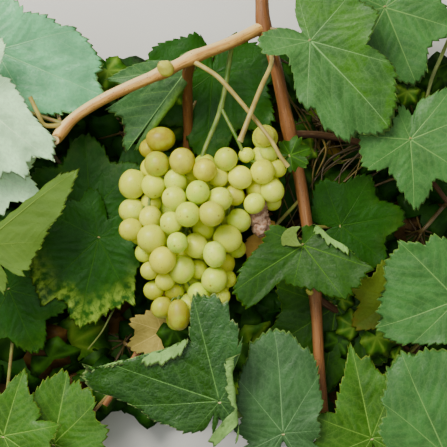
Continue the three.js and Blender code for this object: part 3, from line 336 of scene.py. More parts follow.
def darker(colour, share):
    """A linear colour times a share."""
    return tuple(part * share for part in colour)


def seeded(seed):
    """A linear congruential generator, the same as in the solids' source."""
    state = seed

    def draw():
        nonlocal state
        state = (state * 1664525 + 1013904223) % 2**32
        return state / 2**32

    return draw


def ripple(places, size, seed):
    """Smooth noise between about -1 and 1: the mean of eight sine waves of about the given size in
    seeded directions."""
    chance = np.random.default_rng(seed)
    directions = chance.normal(size=(8, places.shape[-1]))
    directions *= (chance.uniform(0.7, 1.5, 8) / np.linalg.norm(directions, axis=1))[:, None]
    waves = np.sin(places @ directions.T * TAU / size + chance.uniform(0, TAU, 8))
    return waves.mean(axis=-1) * 2


def bell(value, width):
    """A bell curve, 1 in the middle and a third of that one width away."""
    return np.exp(-((value / width) ** 2))


def between(ends, share):
    """What lies at a share of the way from one end to the other."""
    return ends[0] + (ends[1] - ends[0]) * share


def polar(reach, angle):
    """Flat places at a reach and an angle."""
    return np.stack([reach * np.cos(angle), reach * np.sin(angle)], axis=-1)


def turns(count):
    """Angles evenly round a circle."""
    return TAU * np.arange(count) / count


def way_along(line):
    """How far each place of a line is along it."""
    return np.concatenate([[0], np.cumsum(np.linalg.norm(np.diff(line, axis=0), axis=1))])


# Paths


def spline(points):
    """A centripetal Catmull-Rom curve: between two points a cubic, whose slopes at them come from the
    square roots of the distances to their neighbours. Gives its places and their distance along it."""
    p = np.array(points, float)
    p = np.vstack([2 * p[0] - p[1], p, 2 * p[-1] - p[-2]])
    step = np.sqrt(np.linalg.norm(np.diff(p, axis=0), axis=1))
    u = np.linspace(0, 1, 60, endpoint=False)[:, None]
    places = []
    for i in range(1, len(p) - 2):
        a, b, (d0, d1, d2) = p[i], p[i + 1], step[i - 1 : i + 2]
        slope_a = ((a - p[i - 1]) / d0 - (b - p[i - 1]) / (d0 + d1) + (b - a) / d1) * d1
        slope_b = ((b - a) / d1 - (p[i + 2] - a) / (d1 + d2) + (p[i + 2] - b) / d2) * d1
        cubic = 2 * (a - b) + slope_a + slope_b
        places.append(a + slope_a * u + (3 * (b - a) - 2 * slope_a - slope_b) * u**2 + cubic * u**3)
    places = np.concatenate(places + [p[-2:-1]])
    return places, way_along(places)


def place_at(path, share):
    """The places at shares of a path's length."""
    places, along = path
    reach = np.asarray(share) * along[-1]
    return np.stack([np.interp(reach, along, places[:, k]) for k in range(3)], axis=-1)


def unit(vectors):
    """Vectors over their own length."""
    return vectors / np.maximum(np.linalg.norm(vectors, axis=-1, keepdims=True), 1e-9)


def across(line):
    """Two directions square to a line at each place: the first is square to the tangent and to the
    direction in which the line turns least, the second to both."""
    tangent = unit(np.gradient(line, axis=0))
    least = np.linalg.eigh(tangent.T @ tangent)[1][:, 0]
    least = least * np.sign(least[np.argmax(np.abs(least))])
    side = unit(np.cross(tangent, least))
    return side, np.cross(tangent, side)


# Skins. A skin is a closed form: a pole, rings of places, and a second pole.


def skin(rings, first, last, grain, mark, material=0):
    """Rings of places with a pole at each end. grain is where the pattern is, and mark says what grows
    there; both have a row for each place, poles included."""
    count, sides = rings.shape[:2]
    points = np.concatenate([first[None], rings.reshape(-1, 3), last[None]])
    return dict(points=points[None], rings=count, sides=sides, grain=grain[None], mark=mark[None],
                material=material)


def skin_faces(rings, sides):
    """Quads between neighbouring rings and a fan round each pole, facing out where each ring runs
    anticlockwise round the way from pole to pole."""
    row, column = np.meshgrid(np.arange(rings - 1), np.arange(sides), indexing="ij")
    here, beside = 1 + row * sides + column, 1 + row * sides + (column + 1) % sides
    quads = np.stack([here, beside, beside + sides, here + sides], axis=-1).reshape(-1, 4)
    edge = np.arange(sides)
    turned = (edge + 1) % sides
    last = 1 + (rings - 1) * sides
    fans = np.concatenate([
        np.stack([0 * edge, 1 + turned, 1 + edge], axis=-1),
        np.stack([0 * edge + last + sides, last + edge, last + turned], axis=-1),
    ])
    return quads, fans


def make_piece(name, skins, materials, nodes, tone=(0, 0, 0)):
    """Joins skins into one mesh whose object sits at the origin, and enters it in the frame."""
    points, grain, mark, tones, loops, sizes, kinds = [], [], [], [], [], [], []
    start = 0
    for one in skins:
        copies, per_copy = one["points"].shape[:2]
        offset = start + per_copy * np.arange(copies)[:, None, None]
        for faces in skin_faces(one["rings"], one["sides"]):
            corners = (faces[None] + offset).reshape(-1, faces.shape[1])
            loops.append(corners.reshape(-1))
            sizes.append(np.full(len(corners), corners.shape[1]))
            kinds.append(np.full(len(corners), one["material"]))
        own = np.broadcast_to(one.get("tone", np.array(tone, float)), (copies, 3))
        points.append(one["points"].reshape(-1, 3))
        grain.append(one["grain"].reshape(-1, 3))
        mark.append(one["mark"].reshape(-1, 3))
        tones.append(np.repeat(own, per_copy, axis=0))
        start += copies * per_copy
    mesh = bpy.data.meshes.new(name)
    points = (np.concatenate(points) - PLANT_CENTRE) * MM
    loops, sizes = np.concatenate(loops), np.concatenate(sizes)
    mesh.vertices.add(len(points))
    mesh.vertices.foreach_set("co", points.astype(np.float32).ravel())
    mesh.loops.add(len(loops))
    mesh.loops.foreach_set("vertex_index", loops.astype(np.int32))
    mesh.polygons.add(len(sizes))
    mesh.polygons.foreach_set("loop_start", np.concatenate([[0], np.cumsum(sizes)[:-1]]).astype(np.int32))
    mesh.polygons.foreach_set("material_index", np.concatenate(kinds).astype(np.int32))
    mesh.update(calc_edges=True)
    mesh.shade_smooth()
    for key, rows in (("grain", grain), ("mark", mark), ("tone", tones)):
        layer = mesh.attributes.new(key, "FLOAT_VECTOR", "POINT")
        layer.data.foreach_set("vector", np.concatenate(rows).astype(np.float32).ravel())
    if mesh.validate():
        raise RuntimeError(f"{name} had faces that don't hold together")
    for material in materials:
        mesh.materials.append(material)
    piece = bpy.data.objects.new(name, mesh)
    bpy.context.scene.collection.objects.link(piece)
    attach(piece, "root")
    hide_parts(*nodes)


def tube(line, radii, sides, relief=None, material=0, capped=True):
    """A round profile carried along a line, its radius times one plus the relief. A cut end is flat,
    and its mark runs from 1 at the rim to 0 in the middle. The third mark tells how far a place faces
    the key light, for the painted highlight and painted shade on the bark."""
    line, radii = np.asarray(line, float), np.asarray(radii, float)
    turn, along = turns(sides), way_along(line)
    side, up = across(line)
    count = len(line)
    scale = np.ones((count, sides)) if relief is None else 1 + relief
    inner = np.array(CUT_RINGS if capped else ())
    order = np.repeat(np.arange(count), [1 + len(inner)] + [1] * (count - 2) + [1 + len(inner)])
    share = np.concatenate([inner, np.ones(count), inner[::-1]])
    end = np.concatenate([0 * inner + 1, np.zeros(count), 0 * inner + 1])
    reach = (radii[:, None] * scale)[order] * share[:, None]
    cos, sin = np.cos(turn)[None, :, None], np.sin(turn)[None, :, None]
    out = cos * side[order, None] + sin * up[order, None]
    rings = line[order, None] + reach[..., None] * out
    grain = np.stack(np.broadcast_arrays(reach * np.cos(turn), reach * np.sin(turn), along[order, None]),
                     axis=-1)
    marks = np.stack(np.broadcast_arrays(end[:, None], share[:, None], out @ TOWARD_KEY_LIGHT), axis=-1)
    first, last = np.array([[0, 0, along[0]]]), np.array([[0, 0, along[-1]]])
    pole = np.array([[float(capped), 0, 0]])
    return skin(rings, line[0], line[-1], np.concatenate([first, grain.reshape(-1, 3), last]),
                np.concatenate([pole, marks.reshape(-1, 3), pole]), material)


# Leaves


def outline(leaf, phi):
    """How far the blade reaches at an angle from its midrib, as a share of its length. A traced margin
    gives knots, with straight runs between them. Otherwise it is the fourth root of the summed fourth
    powers of a round body, open at the stalk, and of bell-shaped lobes."""
    if "margin" in leaf:
        knots = np.array([pair.split() for pair in leaf["margin"].split(",")], float)
        reach = np.interp(np.degrees(phi), knots[:, 0], knots[:, 1] / 100, period=360)
        return np.maximum(reach, 0.08)
    body = 0.6 * (1 - bell(math.pi - np.abs(phi), 0.5))
    total = body**4
    for angle, length, width in LOBES:
        away = phi - math.radians(angle)
        away = away - TAU * np.round(away / TAU)
        total = total + (length * bell(away, math.radians(width))) ** 4
    return np.maximum(total**0.25, 0.08)


def roll_beyond(p, at, toward, radius, turn):
    """Rolls what lies beyond a line on the blade round a cylinder: the way past the line turns into an
    arc, and what is left when the turn is done goes straight on."""
    e = np.array([math.cos(toward), math.sin(toward)])
    beyond = (p[..., :2] - at) @ e
    up = np.sign(turn)
    angle = np.minimum(beyond / radius, np.abs(turn))
    rest = beyond - angle * radius
    arm = radius - p[..., 2] * up
    along = arm * np.sin(angle) + rest * np.cos(angle)
    height = up * (radius - arm * np.cos(angle) + rest * np.sin(angle))
    live = (beyond > 0) & (turn != 0)
    p[..., 2] = np.where(live, height, p[..., 2])
    p[..., :2] += np.where(live, along - beyond, 0)[..., None] * e


def within(phi, sector):
    """One between two directions, none outside, with a smooth step of two degrees."""
    if not sector:
        return np.ones_like(phi)
    degrees = np.degrees(phi)
    inside = np.maximum(np.minimum(degrees - sector[0], sector[1] - degrees),
                        np.minimum(degrees + 360 - sector[0], sector[1] - degrees - 360))
    t = np.clip((inside + 1) / 2, 0, 1)
    return t * t * (3 - 2 * t)


def leaf_axes(leaf):
    """The way along the midrib, the way across it to the left, and the way out of the upper side."""
    heading, pitch, roll = (math.radians(leaf.get(key, 0)) for key in ("heading", "pitch", "roll"))
    level = np.array([math.cos(heading), math.sin(heading), 0])
    across_it = np.array([-math.sin(heading), math.cos(heading), 0])
    out = np.array([0, 0, 1.0])
    along = level * math.cos(pitch) + out * math.sin(pitch)
    out = out * math.cos(pitch) - level * math.sin(pitch)
    return (along, across_it * math.cos(roll) + out * math.sin(roll),
            out * math.cos(roll) - across_it * math.sin(roll))


def fold_and_droop(leaf, p):
    """Rolls the halves of the blade up from its midrib, and its ends down along it."""
    crease, droop = math.radians(leaf["crease"]), math.radians(leaf["droop"])
    for side in (90, -90):
        roll_beyond(p, np.zeros(2), math.radians(side), CREASE_RADIUS, crease)
    for end in (0, 180):
        roll_beyond(p, np.zeros(2), math.radians(end), leaf["size"] / droop, -droop)


def in_plant(leaf, p):
    """The places in the plant of places on the bent blade."""
    return np.array(leaf["at"], float) + p @ np.array(leaf_axes(leaf))


def bend_blade(leaf, flat):
    """Takes places on the flat blade, in millimetres, to their places in the plant: a wave that grows
    with the square of the way to the margin, then curls, the crease and the droop."""
    size = leaf["size"]
    p = np.array(flat, float)
    phi = np.arctan2(p[..., 1], p[..., 0])
    share = np.hypot(p[..., 0], p[..., 1]) / (outline(leaf, phi) * size)
    p[..., 2] += leaf.get("wave", 0.02) * size * share**2 * np.sin(5 * phi + size)
    ruffle = leaf.get("ruffle", 1.5) * np.minimum(share, 1.1) ** 3
    p[..., 2] += ruffle * ripple(p[..., :2], 26, int(size * 7))
    for curl in leaf.get("curls", []):
        turn = math.radians(curl["turn"]) * within(phi, curl.get("between"))
        roll_beyond(p, np.array(curl["at"]) * size, math.radians(curl["toward"]), curl["radius"], turn)
    fold_and_droop(leaf, p)
    return in_plant(leaf, p)


def chance_of(leaf, factor):
    """A leaf's own random numbers."""
    return np.random.default_rng(int(leaf["size"] * factor + leaf["heading"]) % 9973)


def margin(leaf, teeth_mm, height_mm):
    """The toothed margin: angles and reaches of the places on it, four to a tooth. Teeth are even
    along the smooth outline, lean toward the nearest lobe's tip, and differ by a seeded rule."""
    phi = np.linspace(-math.pi, math.pi, 1441)
    reach = outline(leaf, phi) * leaf["size"]
    along = way_along(polar(reach, phi))
    count = max(int(along[-1] / teeth_mm), 12)
    chance = chance_of(leaf, 31)
    size = chance.uniform(0.55, 1.15, count) * np.where(np.arange(count) % 3 == 0, 1.25, 0.8)
    start = (np.arange(count) + chance.uniform(-0.16, 0.16, count)) / count * along[-1]
    start[0] = 0
    length = np.diff(np.append(start, along[-1]))
    slope = np.interp(start + length / 2, along, np.gradient(reach, along))
    peak = 0.5 + 0.3 * np.tanh(2 * slope)
    shares = np.stack([0 * peak, peak * 0.55, peak, peak + (1 - peak) * 0.45], axis=-1)
    lift = np.array([0, 0.66, 1, 0.5])
    stops = (start[:, None] + shares * length[:, None]).ravel()
    angles = np.interp(stops, along, phi)
    heights = (lift * (size * height_mm)[:, None]).ravel()
    room = np.clip(np.interp(angles, phi, reach) / (0.35 * leaf["size"]), 0.15, 1)
    return angles, np.interp(angles, phi, reach) + (heights - 0.4 * height_mm) * room


def veins(leaf, main_steps=30, side_steps=14, pairs=6, strides=60):
    """The paths of the veins on the flat blade, and their radii. Main veins run from the junction to
    the lobes' tips: the farthest reach near each of seven directions. Side veins leave them at about
    50 degrees, bend toward the tip and stop at the margin or half-way to the next main vein."""
    size = leaf["size"]
    look = np.radians(np.arange(-14, 15))
    mains = []
    for wanted in np.radians((0, 50, -50, 100, -100, 148, -148)):
        far = outline(leaf, wanted + look) - 0.12 * np.abs(look)
        mains.append(wanted + look[np.argmax(far)])
    mains = np.sort(np.array(mains))
    chance = chance_of(leaf, 17)
    share = np.linspace(0.015, 0.965, main_steps)
    reach = outline(leaf, mains) * size
    bow = chance.uniform(-0.03, 0.03, len(mains))
    turned = mains[:, None] + bow[:, None] * np.sin(math.pi * share)
    paths = [polar(share * reach[:, None], turned)]
    strength = np.clip(reach / size, 0.45, 1)
    radii = [strength[:, None] * (1 - 0.78 * share)]
    start = np.repeat(np.arange(len(mains)), 2 * pairs)
    hand = np.tile(np.repeat([1.0, -1.0], pairs), len(mains))
    where = np.tile(np.concatenate([np.arange(pairs), np.arange(pairs) + 0.45]), len(mains))
    where = 0.08 + 0.84 * (where + chance.uniform(-0.12, 0.12, len(where))) / pairs
    step = np.linspace(0, 1, strides)
    lean = mains[start][:, None] + hand[:, None] * np.radians(52 - 26 * step)
    stride = 0.8 * size * (1 - 0.55 * where)[:, None] / strides
    path = np.cumsum(polar(stride, lean), axis=1)
    path = path - path[:, :1] + polar(where * reach[start], mains[start])[:, None]
    phi = np.arctan2(path[..., 1], path[..., 0])
    away = np.abs(phi[..., None] - mains - TAU * np.round((phi[..., None] - mains) / TAU))
    own = np.take_along_axis(away, start[:, None, None].repeat(strides, 1), axis=2)[..., 0]
    inside = np.hypot(path[..., 0], path[..., 1]) < 0.955 * outline(leaf, phi) * size
    inside &= own <= away.min(axis=-1) + 0.03
    stop = np.where(inside.all(axis=1), strides - 1, np.argmin(inside, axis=1))
    keep = stop * stride[:, 0] > 0.06 * size
    path, stop, where = path[keep], stop[keep], where[keep]
    spot = np.linspace(0, 1, side_steps) * stop[:, None]
    low = np.floor(spot).astype(int)
    high = np.minimum(low + 1, strides - 1)
    rows = np.arange(len(path))[:, None]
    part = (spot - low)[..., None]
    paths.append(path[rows, low] * (1 - part) + path[rows, high] * part)
    radii.append((0.36 * (1 - 0.4 * where))[:, None] * (1 - 0.6 * np.linspace(0, 1, side_steps)))
    return paths, radii


def distance_to(paths, places):
    """How far each flat place is from the nearest step of the paths."""
    steps = np.concatenate([path.reshape(-1, 2) for path in paths])
    best = np.full(len(places), 1e9)
    for block in np.array_split(steps, max(len(steps) // 60, 1)):
        gap = np.hypot(places[:, None, 0] - block[None, :, 0], places[:, None, 1] - block[None, :, 1])
        best = np.minimum(best, gap.min(axis=1))
    return best


def blade_skin(leaf, sizes, rings, under_rings, paths):
    """The blade as a thin closed skin: from the junction out along the underside and back along the
    upper side, puffed up between the veins. Also gives the puff, as a rule for any flat place."""
    phi, reach = margin(leaf, sizes["tooth"], sizes["tooth_height"] * leaf.get("teeth", 1))
    spread = np.concatenate([np.linspace(0, 1, under_rings + 1)[1:], np.linspace(1, 0, rings + 1)[1:-1]])
    upper = np.concatenate([np.zeros(under_rings), np.ones(rings - 1)])
    base = outline(leaf, phi) * leaf["size"]
    teeth = (reach - base)[None] * np.clip((spread[:, None] - 0.75) / 0.25, 0, 1) ** 2
    out = base[None] * spread[:, None] + teeth
    x, y = out * np.cos(phi), out * np.sin(phi)
    gap = distance_to(paths, np.stack([x, y], axis=-1).reshape(-1, 2)).reshape(x.shape)
    puff = sizes["pucker"] * (1 - bell(gap, 3.4)) * (1 - spread[:, None] ** 6)
    # Only a leaf that shows its underside is puffed there too
    if leaf.get("roll") != 180:
        puff = puff * upper[:, None]
    half = sizes["blade"] / 2 * (1 - spread[:, None] ** 8)
    z = np.where(upper[:, None] > 0, half, -half) + puff
    ends = bend_blade(leaf, np.array([[0, 0, -sizes["blade"] / 2], [0, 0, sizes["blade"] / 2]]))
    near = 0.16 * bell(gap, 1.5)
    below = np.where(spread == 1, 0, 1 - upper)
    marks = np.stack(np.broadcast_arrays(below[:, None], near, spread[:, None]), axis=-1)
    level = leaf["size"] * 3.7
    grain = np.stack([x, y, np.full(x.shape, level)], axis=-1).reshape(-1, 3)
    pole = np.array([[0, 0, level]])
    table = np.concatenate([0 * phi[None], puff[:under_rings - 2 : -1]])

    def puff_at(flat):
        """The puff at a flat place, straight between the four nearest places of the upper side."""
        angle = np.arctan2(flat[..., 1], flat[..., 0])
        column = np.searchsorted(phi, angle) % len(phi)
        part = ((angle - phi[column - 1]) % TAU) / ((phi[column] - phi[column - 1]) % TAU)
        reach = outline(leaf, angle) * leaf["size"]
        row = np.clip(np.hypot(flat[..., 0], flat[..., 1]) / reach, 0, 0.999)
        low = (row * rings).astype(int)
        inner = table[low, column - 1] * (1 - part) + table[low, column] * part
        outer = table[low + 1, column - 1] * (1 - part) + table[low + 1, column] * part
        return inner + (outer - inner) * (row * rings - low)

    places = bend_blade(leaf, np.stack([x, y, z], axis=-1))
    mark = np.concatenate([[[1, 0, 0]], marks.reshape(-1, 3), [[0, 0, 0]]])
    return skin(places, *ends, np.concatenate([pole, grain, pole]), mark), puff_at


def vein_skins(leaf, paths, radii, sizes, puff_at, sides=6):
    """Each vein is a rib carried along its path on the puffed blade, bent with it, and deeper
    underneath."""
    skins = []
    turn = turns(sides)
    for path, radius, strength in zip(paths, radii, (1.0, 0.32)):
        tangent = unit(np.gradient(path, axis=1))
        side = np.stack([-tangent[..., 1], tangent[..., 0]], axis=-1)
        reach = radius[..., None] * sizes["vein"]
        flat = path[:, :, None] + side[:, :, None] * (reach * np.cos(turn))[..., None]
        rise = sizes["blade"] / 2 + reach * np.where(np.sin(turn) > 0, 0.5, 0.9)
        base = puff_at(path)
        height = base[..., None] + rise * np.sin(turn)
        rings = bend_blade(leaf, np.concatenate([flat, height[..., None]], axis=-1))
        ends = bend_blade(leaf, np.concatenate([path, base[..., None]], axis=-1)[:, [0, -1]])
        copies, steps = path.shape[:2]
        points = np.concatenate([ends[:, :1], rings.reshape(copies, -1, 3), ends[:, 1:]], axis=1)
        mark = np.zeros((copies, steps, sides, 3))
        mark[..., 0] = np.where(np.sin(turn) < -0.35, 1.0, 0.0)
        mark[..., 1] = strength
        mark[..., 2] = np.linspace(0, 1, steps)[None, :, None]
        mark = np.concatenate([np.tile([[[0, 1, 0]]], (copies, 1, 1)), mark.reshape(copies, -1, 3),
                               np.tile([[[0, 1, 1]]], (copies, 1, 1))], axis=1)
        skins.append(dict(points=points, rings=steps, sides=sides, grain=points, mark=mark, material=0))
    return skins


def stalk_path(leaf):
    """The stalk leaves the blade's underside and bends to the limb that carries it."""
    start = np.array(leaf["at"], float)
    end = place_at(spline(LIMBS[leaf["limb"]]["points"]), leaf["share"])
    along, _, out = leaf_axes(leaf)
    length = np.linalg.norm(end - start)
    bend = [start - out * 0.16 * length - along * 0.14 * length]
    return spline([start, *leaf.get("via", bend), end])


# The bunch


def beside_core(berry, pod):
    """A pod's start and axis, and how far along the axis a berry is, as a share of it."""
    start = np.array(pod["start"], float)
    axis = np.array(pod["end"], float) - start
    return start, axis, np.dot(berry["place"] - start, axis) / np.dot(axis, axis)


def pod_depth(berry, pod):
    """How far a berry stands out of a pod, and the way out, with the depth stretched to a circle."""
    start, axis, t = beside_core(berry, pod)
    t = min(max(t, 0), 1)
    away = berry["place"] - start - axis * t
    away[2] /= DEPTH_SHARE
    return math.sqrt(np.dot(away, away)) + berry["radius"] - between(pod["radii"], t), away


def own_pods(berry):
    """The pods of the berry's bunch, or of its wing."""
    return [pod for pod in PODS if pod["wing"] == berry["wing"]]


def keep_in_layer(berry):
    """Draws a berry that stands outside its bunch's envelope in, and one that lies too deep out."""
    outside, away = min((pod_depth(berry, pod) for pod in own_pods(berry)), key=lambda found: found[0])
    deep = outside + (PACKING["depth"] - 1) * berry["radius"]
    move = outside if outside > 0 else min(deep, 0) * 0.5
    if move:
        away *= move * PACKING["hold"] / math.sqrt(np.dot(away, away))
        away[2] *= DEPTH_SHARE
        berry["place"] -= away


def push_apart(berries):
    """Moves each pair of berries that press too close half of their overlap apart, pair after pair."""
    place = [list(berry["place"]) for berry in berries]
    for i, a in enumerate(berries):
        ax = place[i]
        for k in range(i + 1, len(berries)):
            b, bx = berries[k], place[k]
            x, y, z = bx[0] - ax[0], bx[1] - ax[1], bx[2] - ax[2]
            touch = PACKING["touch" if a["wing"] == b["wing"] else "other_touch"]
            wanted = (a["radius"] + b["radius"]) * touch
            far = x * x + y * y + z * z
            if far >= wanted * wanted or (a["fixed"] and b["fixed"]):
                continue
            far = math.sqrt(far)
            push = (wanted - far) / far
            own = 0 if a["fixed"] else (1 if b["fixed"] else 0.5)
            other = 0 if b["fixed"] else (1 if a["fixed"] else 0.5)
            for n, gap in enumerate((x, y, z)):
                ax[n] -= gap * push * own
                bx[n] += gap * push * other
    for berry, where in zip(berries, place):
        berry["place"] = np.array(where)


def pack_berries():
    """The seen berries don't move. Behind them, others scattered in the back of the pods push one
    another apart, and stay in a layer under the bunch's envelope."""
    draw = seeded(SEEDS["packing"])
    berries = []
    for marks, wing in ((LANDMARKS, False), (WING_LANDMARKS, True)):
        for x, y, z, radius, ripe, *shape in marks:
            berries.append(dict(place=np.array([x, y, z], float), radius=radius, wing=wing, fixed=True,
                                ripe=ripe, shape=shape))
    for pod in PODS:
        for _ in range(pod["berries"]):
            t = draw()
            spread = between(pod["radii"], t) * 0.75
            turn = math.pi * (1 + draw())
            place = np.array(pod["start"], float) * (1 - t) + np.array(pod["end"], float) * t
            place += spread * np.array([math.cos(turn), 0, math.sin(turn) * DEPTH_SHARE])
            berries.append(dict(place=place, radius=between(BERRY_RADII, draw()), wing=pod["wing"],
                                fixed=False, ripe=0.2, shape=()))
    for _ in range(PACKING["rounds"]):
        push_apart(berries)
        for berry in berries:
            if not berry["fixed"]:
                keep_in_layer(berry)
                berry["place"][2] = min(berry["place"][2], PACKING["ceiling"])
    return berries


def nearest_core(berry):
    """The place on the core of the berry's pod that its stalk grows from, a little up the bunch."""
    pod = min(own_pods(berry), key=lambda one: pod_depth(berry, one)[0])
    start, axis, t = beside_core(berry, pod)
    return start + axis * np.clip(t - 0.12, 0, 1)


def berry_skins(places, radii, stalks, chance, ripe, oval, wrinkle=0.0, shapes=None, rings=22, sides=32):
    """Each berry is a slightly long ball round its stalk's line: the radius follows the sine of the way
    from its base to its tip, dimpled at the base and drawn to a dot at the tip. A shape gives a long
    berry's length and the direction in which it lies in the picture."""
    way = np.linspace(0, math.pi, rings + 2)[1:-1]
    turn = turns(sides)
    axis = unit(places - stalks)
    long = 1 + oval * (0.35 + chance.uniform(0, 1, len(places)))
    for n, shape in enumerate(shapes or ()):
        if shape:
            flat = np.append(polar(1, math.radians(shape[1])), 0)
            axis[n], long[n] = flat * (1 if flat @ axis[n] > 0 else -1), shape[0]
    side = unit(np.cross(axis, np.array([0.31, 0.52, 0.79])))
    up = np.cross(axis, side)
    skins = []
    dimple = 0.05 * bell(way, 0.28) + 0.014 * bell(math.pi - way, 0.1)
    along = -np.cos(way) * (1 - dimple)
    out = np.sin(way) ** 0.96
    unit_rings = np.stack([np.broadcast_to(along[:, None], (rings, sides)),
                           out[:, None] * np.cos(turn), out[:, None] * np.sin(turn)], axis=-1)
    poles = np.array([[-0.95, 0, 0], [0.986, 0, 0]])
    ball = np.concatenate([poles[:1], unit_rings.reshape(-1, 3), poles[1:]])
    for n in range(len(places)):
        local = ball * radii[n] * np.array([long[n], 1, 1])
        local = local * (1 + 0.012 * ripple(ball, 2.4, n))[:, None]
        if wrinkle:
            folds = ripple(ball, 0.7, n) - 0.6 + 0.8 * ripple(ball, 0.3, n + 50)
            local *= 1 + wrinkle * folds[:, None]
        points = places[n] + local @ np.stack([axis[n], side[n], up[n]])
        tip = np.concatenate([[-1], np.repeat(-np.cos(way), sides), [1]])
        mark = np.stack([tip, 0 * tip, np.full(len(tip), ripe[n])], axis=-1)
        skins.append(dict(points=points[None], rings=rings, sides=sides, grain=(local + 40.0 * n)[None],
                          mark=mark[None], material=0, tone=chance.uniform(0, 1, (1, 3))))
    return skins


def stalk_skin(path, start_radius, end_radius, sides=10, steps=24, flare=0.5, material=0, seed=1):
    """A stalk: a taper along a path, ribbed lengthwise, that widens where it leaves its limb."""
    share = np.linspace(0, 1, steps)
    swell = 1 + flare * bell(1 - share, 0.07) + 0.5 * flare * bell(share, 0.05)
    radius = between((start_radius, end_radius), share) * swell
    relief = 0.04 * np.cos(3 * turns(sides) + seed)[None] * np.ones((steps, 1))
    return tube(place_at(path, share), radius, sides, relief, material)


# The undergrowth


def mass_cells():
    """Cells on a grid, by turns in a lower and an upper slab, each with the seed of its leaves."""
    made = []
    for column in range(-2, 3):
        for row in range(-1, 2):
            name = f"foliage_{'abcde'[column + 2]}{row + 2}"
            slab = SLABS[(column + row) % 2]
            centre = np.array([column * CELL[0], row * CELL[1] - 8, slab], float)
            made.append((name, centre, 100 + 10 * column + row))
    return made


def nearest_limb_place(target):
    """The place on a low-lying limb that is nearest to a mass."""
    shares = np.arange(0.3, 0.9601, 0.06)
    names = ("cane_main", "cane_back", "lateral_left", "lateral_right", "lateral_low")
    places = np.concatenate([place_at(spline(LIMBS[name]["points"]), shares) for name in names])
    places = places[places[:, 2] < LIMB_CEILING]
    return places[np.argmin(np.linalg.norm(places - target, axis=1))]


def mass_leaves(centre, draw):
    """The three leaves of the source's rule round the cell's middle, one above another."""
    first = draw() * 360
    leaves = []
    for k in range(3):
        heading = first + 120 * k + 30 * (draw() - 0.5)
        away = np.append(polar(1, math.radians(heading + 13)), 0)
        leaves.append(dict(at=centre - 8 * away + [0, 0, 5 * k - 5], heading=heading,
                           size=MASS_LEAF * (0.9 + 0.2 * draw()), crease=1, droop=2, wave=0.012))
    return leaves


def spray_leaves(centre, draw):
    """Finer leaves on side twigs, spread over the cell by the golden angle, tilted and curled by the
    same draws."""
    leaves = []
    for k in range(SPRAY):
        way = math.radians(GOLDEN_ANGLE) * k + TAU * 0.1 * draw()
        reach = SPRAY_REACH * math.sqrt((k + 0.5) / SPRAY)
        height = min(max(centre[2] + 26 * (draw() - 0.35), 10), 46)
        leaves.append(dict(at=centre * [1, 1, 0] + [*polar(reach, way), height],
                           heading=math.degrees(way) + 80 * (draw() - 0.5), size=25 + 15 * draw(),
                           pitch=34 * (draw() - 0.5), roll=50 * (draw() - 0.5), crease=4 + 10 * draw(),
                           droop=14 + 24 * draw(), wave=0.035))
    return leaves


# The margin of a small leaf: directions from the junction, and reaches as shares of the length
SMALL_WAYS = (-152, -128, -103, -78, -64, -51, -38, -26, -11, 0, 11, 26, 38, 51, 64, 78, 103, 128,
              152, 180)
SMALL_REACH = (0.5, 0.56, 0.76, 0.68, 0.8, 0.92, 0.84, 0.76, 0.88, 1, 0.88, 0.76, 0.84, 0.92, 0.8, 0.68,
               0.76, 0.56, 0.5, 0.1)


def small_blade(leaf, tone):
    """A leaf of the undergrowth in sixty faces: lobes, notches and shoulder teeth round the junction,
    with veins marked from the junction to the five tips. It stands clear of the ground."""
    phi = np.radians(SMALL_WAYS)
    reach = leaf["size"] * np.array(SMALL_REACH)
    rings = bend_small(leaf, np.stack([np.column_stack([polar(share * reach, phi), 0 * phi + z])
                                       for share, z in ((1, 0), (0.55, 0.35))]))
    ends = bend_small(leaf, np.array([[0, 0, -0.9], [0, 0, 0.35]]))
    lift = max(PLANT_CENTRE[2] + 1.5 - min(rings[..., 2].min(), ends[:, 2].min()), 0)
    rings[..., 2] += lift
    ends[:, 2] += lift
    rib = np.isin(np.abs(SMALL_WAYS), (0, 51, 103)) * 1.0
    marks = np.stack(np.broadcast_arrays(0, rib[None] * np.array([[0.9], [1]]), [[1], [0.5]]), axis=-1)
    pole = np.array([[0, 1, 0]])
    grain = np.concatenate([ends[:1], rings.reshape(-1, 3), ends[1:]])
    made = skin(rings, ends[0], ends[1], grain, np.concatenate([pole, marks.reshape(-1, 3), pole]))
    return dict(made, tone=np.array([[tone, 0, 0]]))


def bend_small(leaf, flat):
    """The same bends as on a big blade, but with a wave that has three crests and no ruffle."""
    p = np.array(flat, float)
    fold_and_droop(leaf, p)
    size, phi = leaf["size"], np.arctan2(flat[..., 1], flat[..., 0])
    share = np.hypot(flat[..., 0], flat[..., 1]) / size
    p[..., 2] += leaf["wave"] * size * np.sin(3 * phi + size) * share**2
    return in_plant(leaf, p)


# Materials

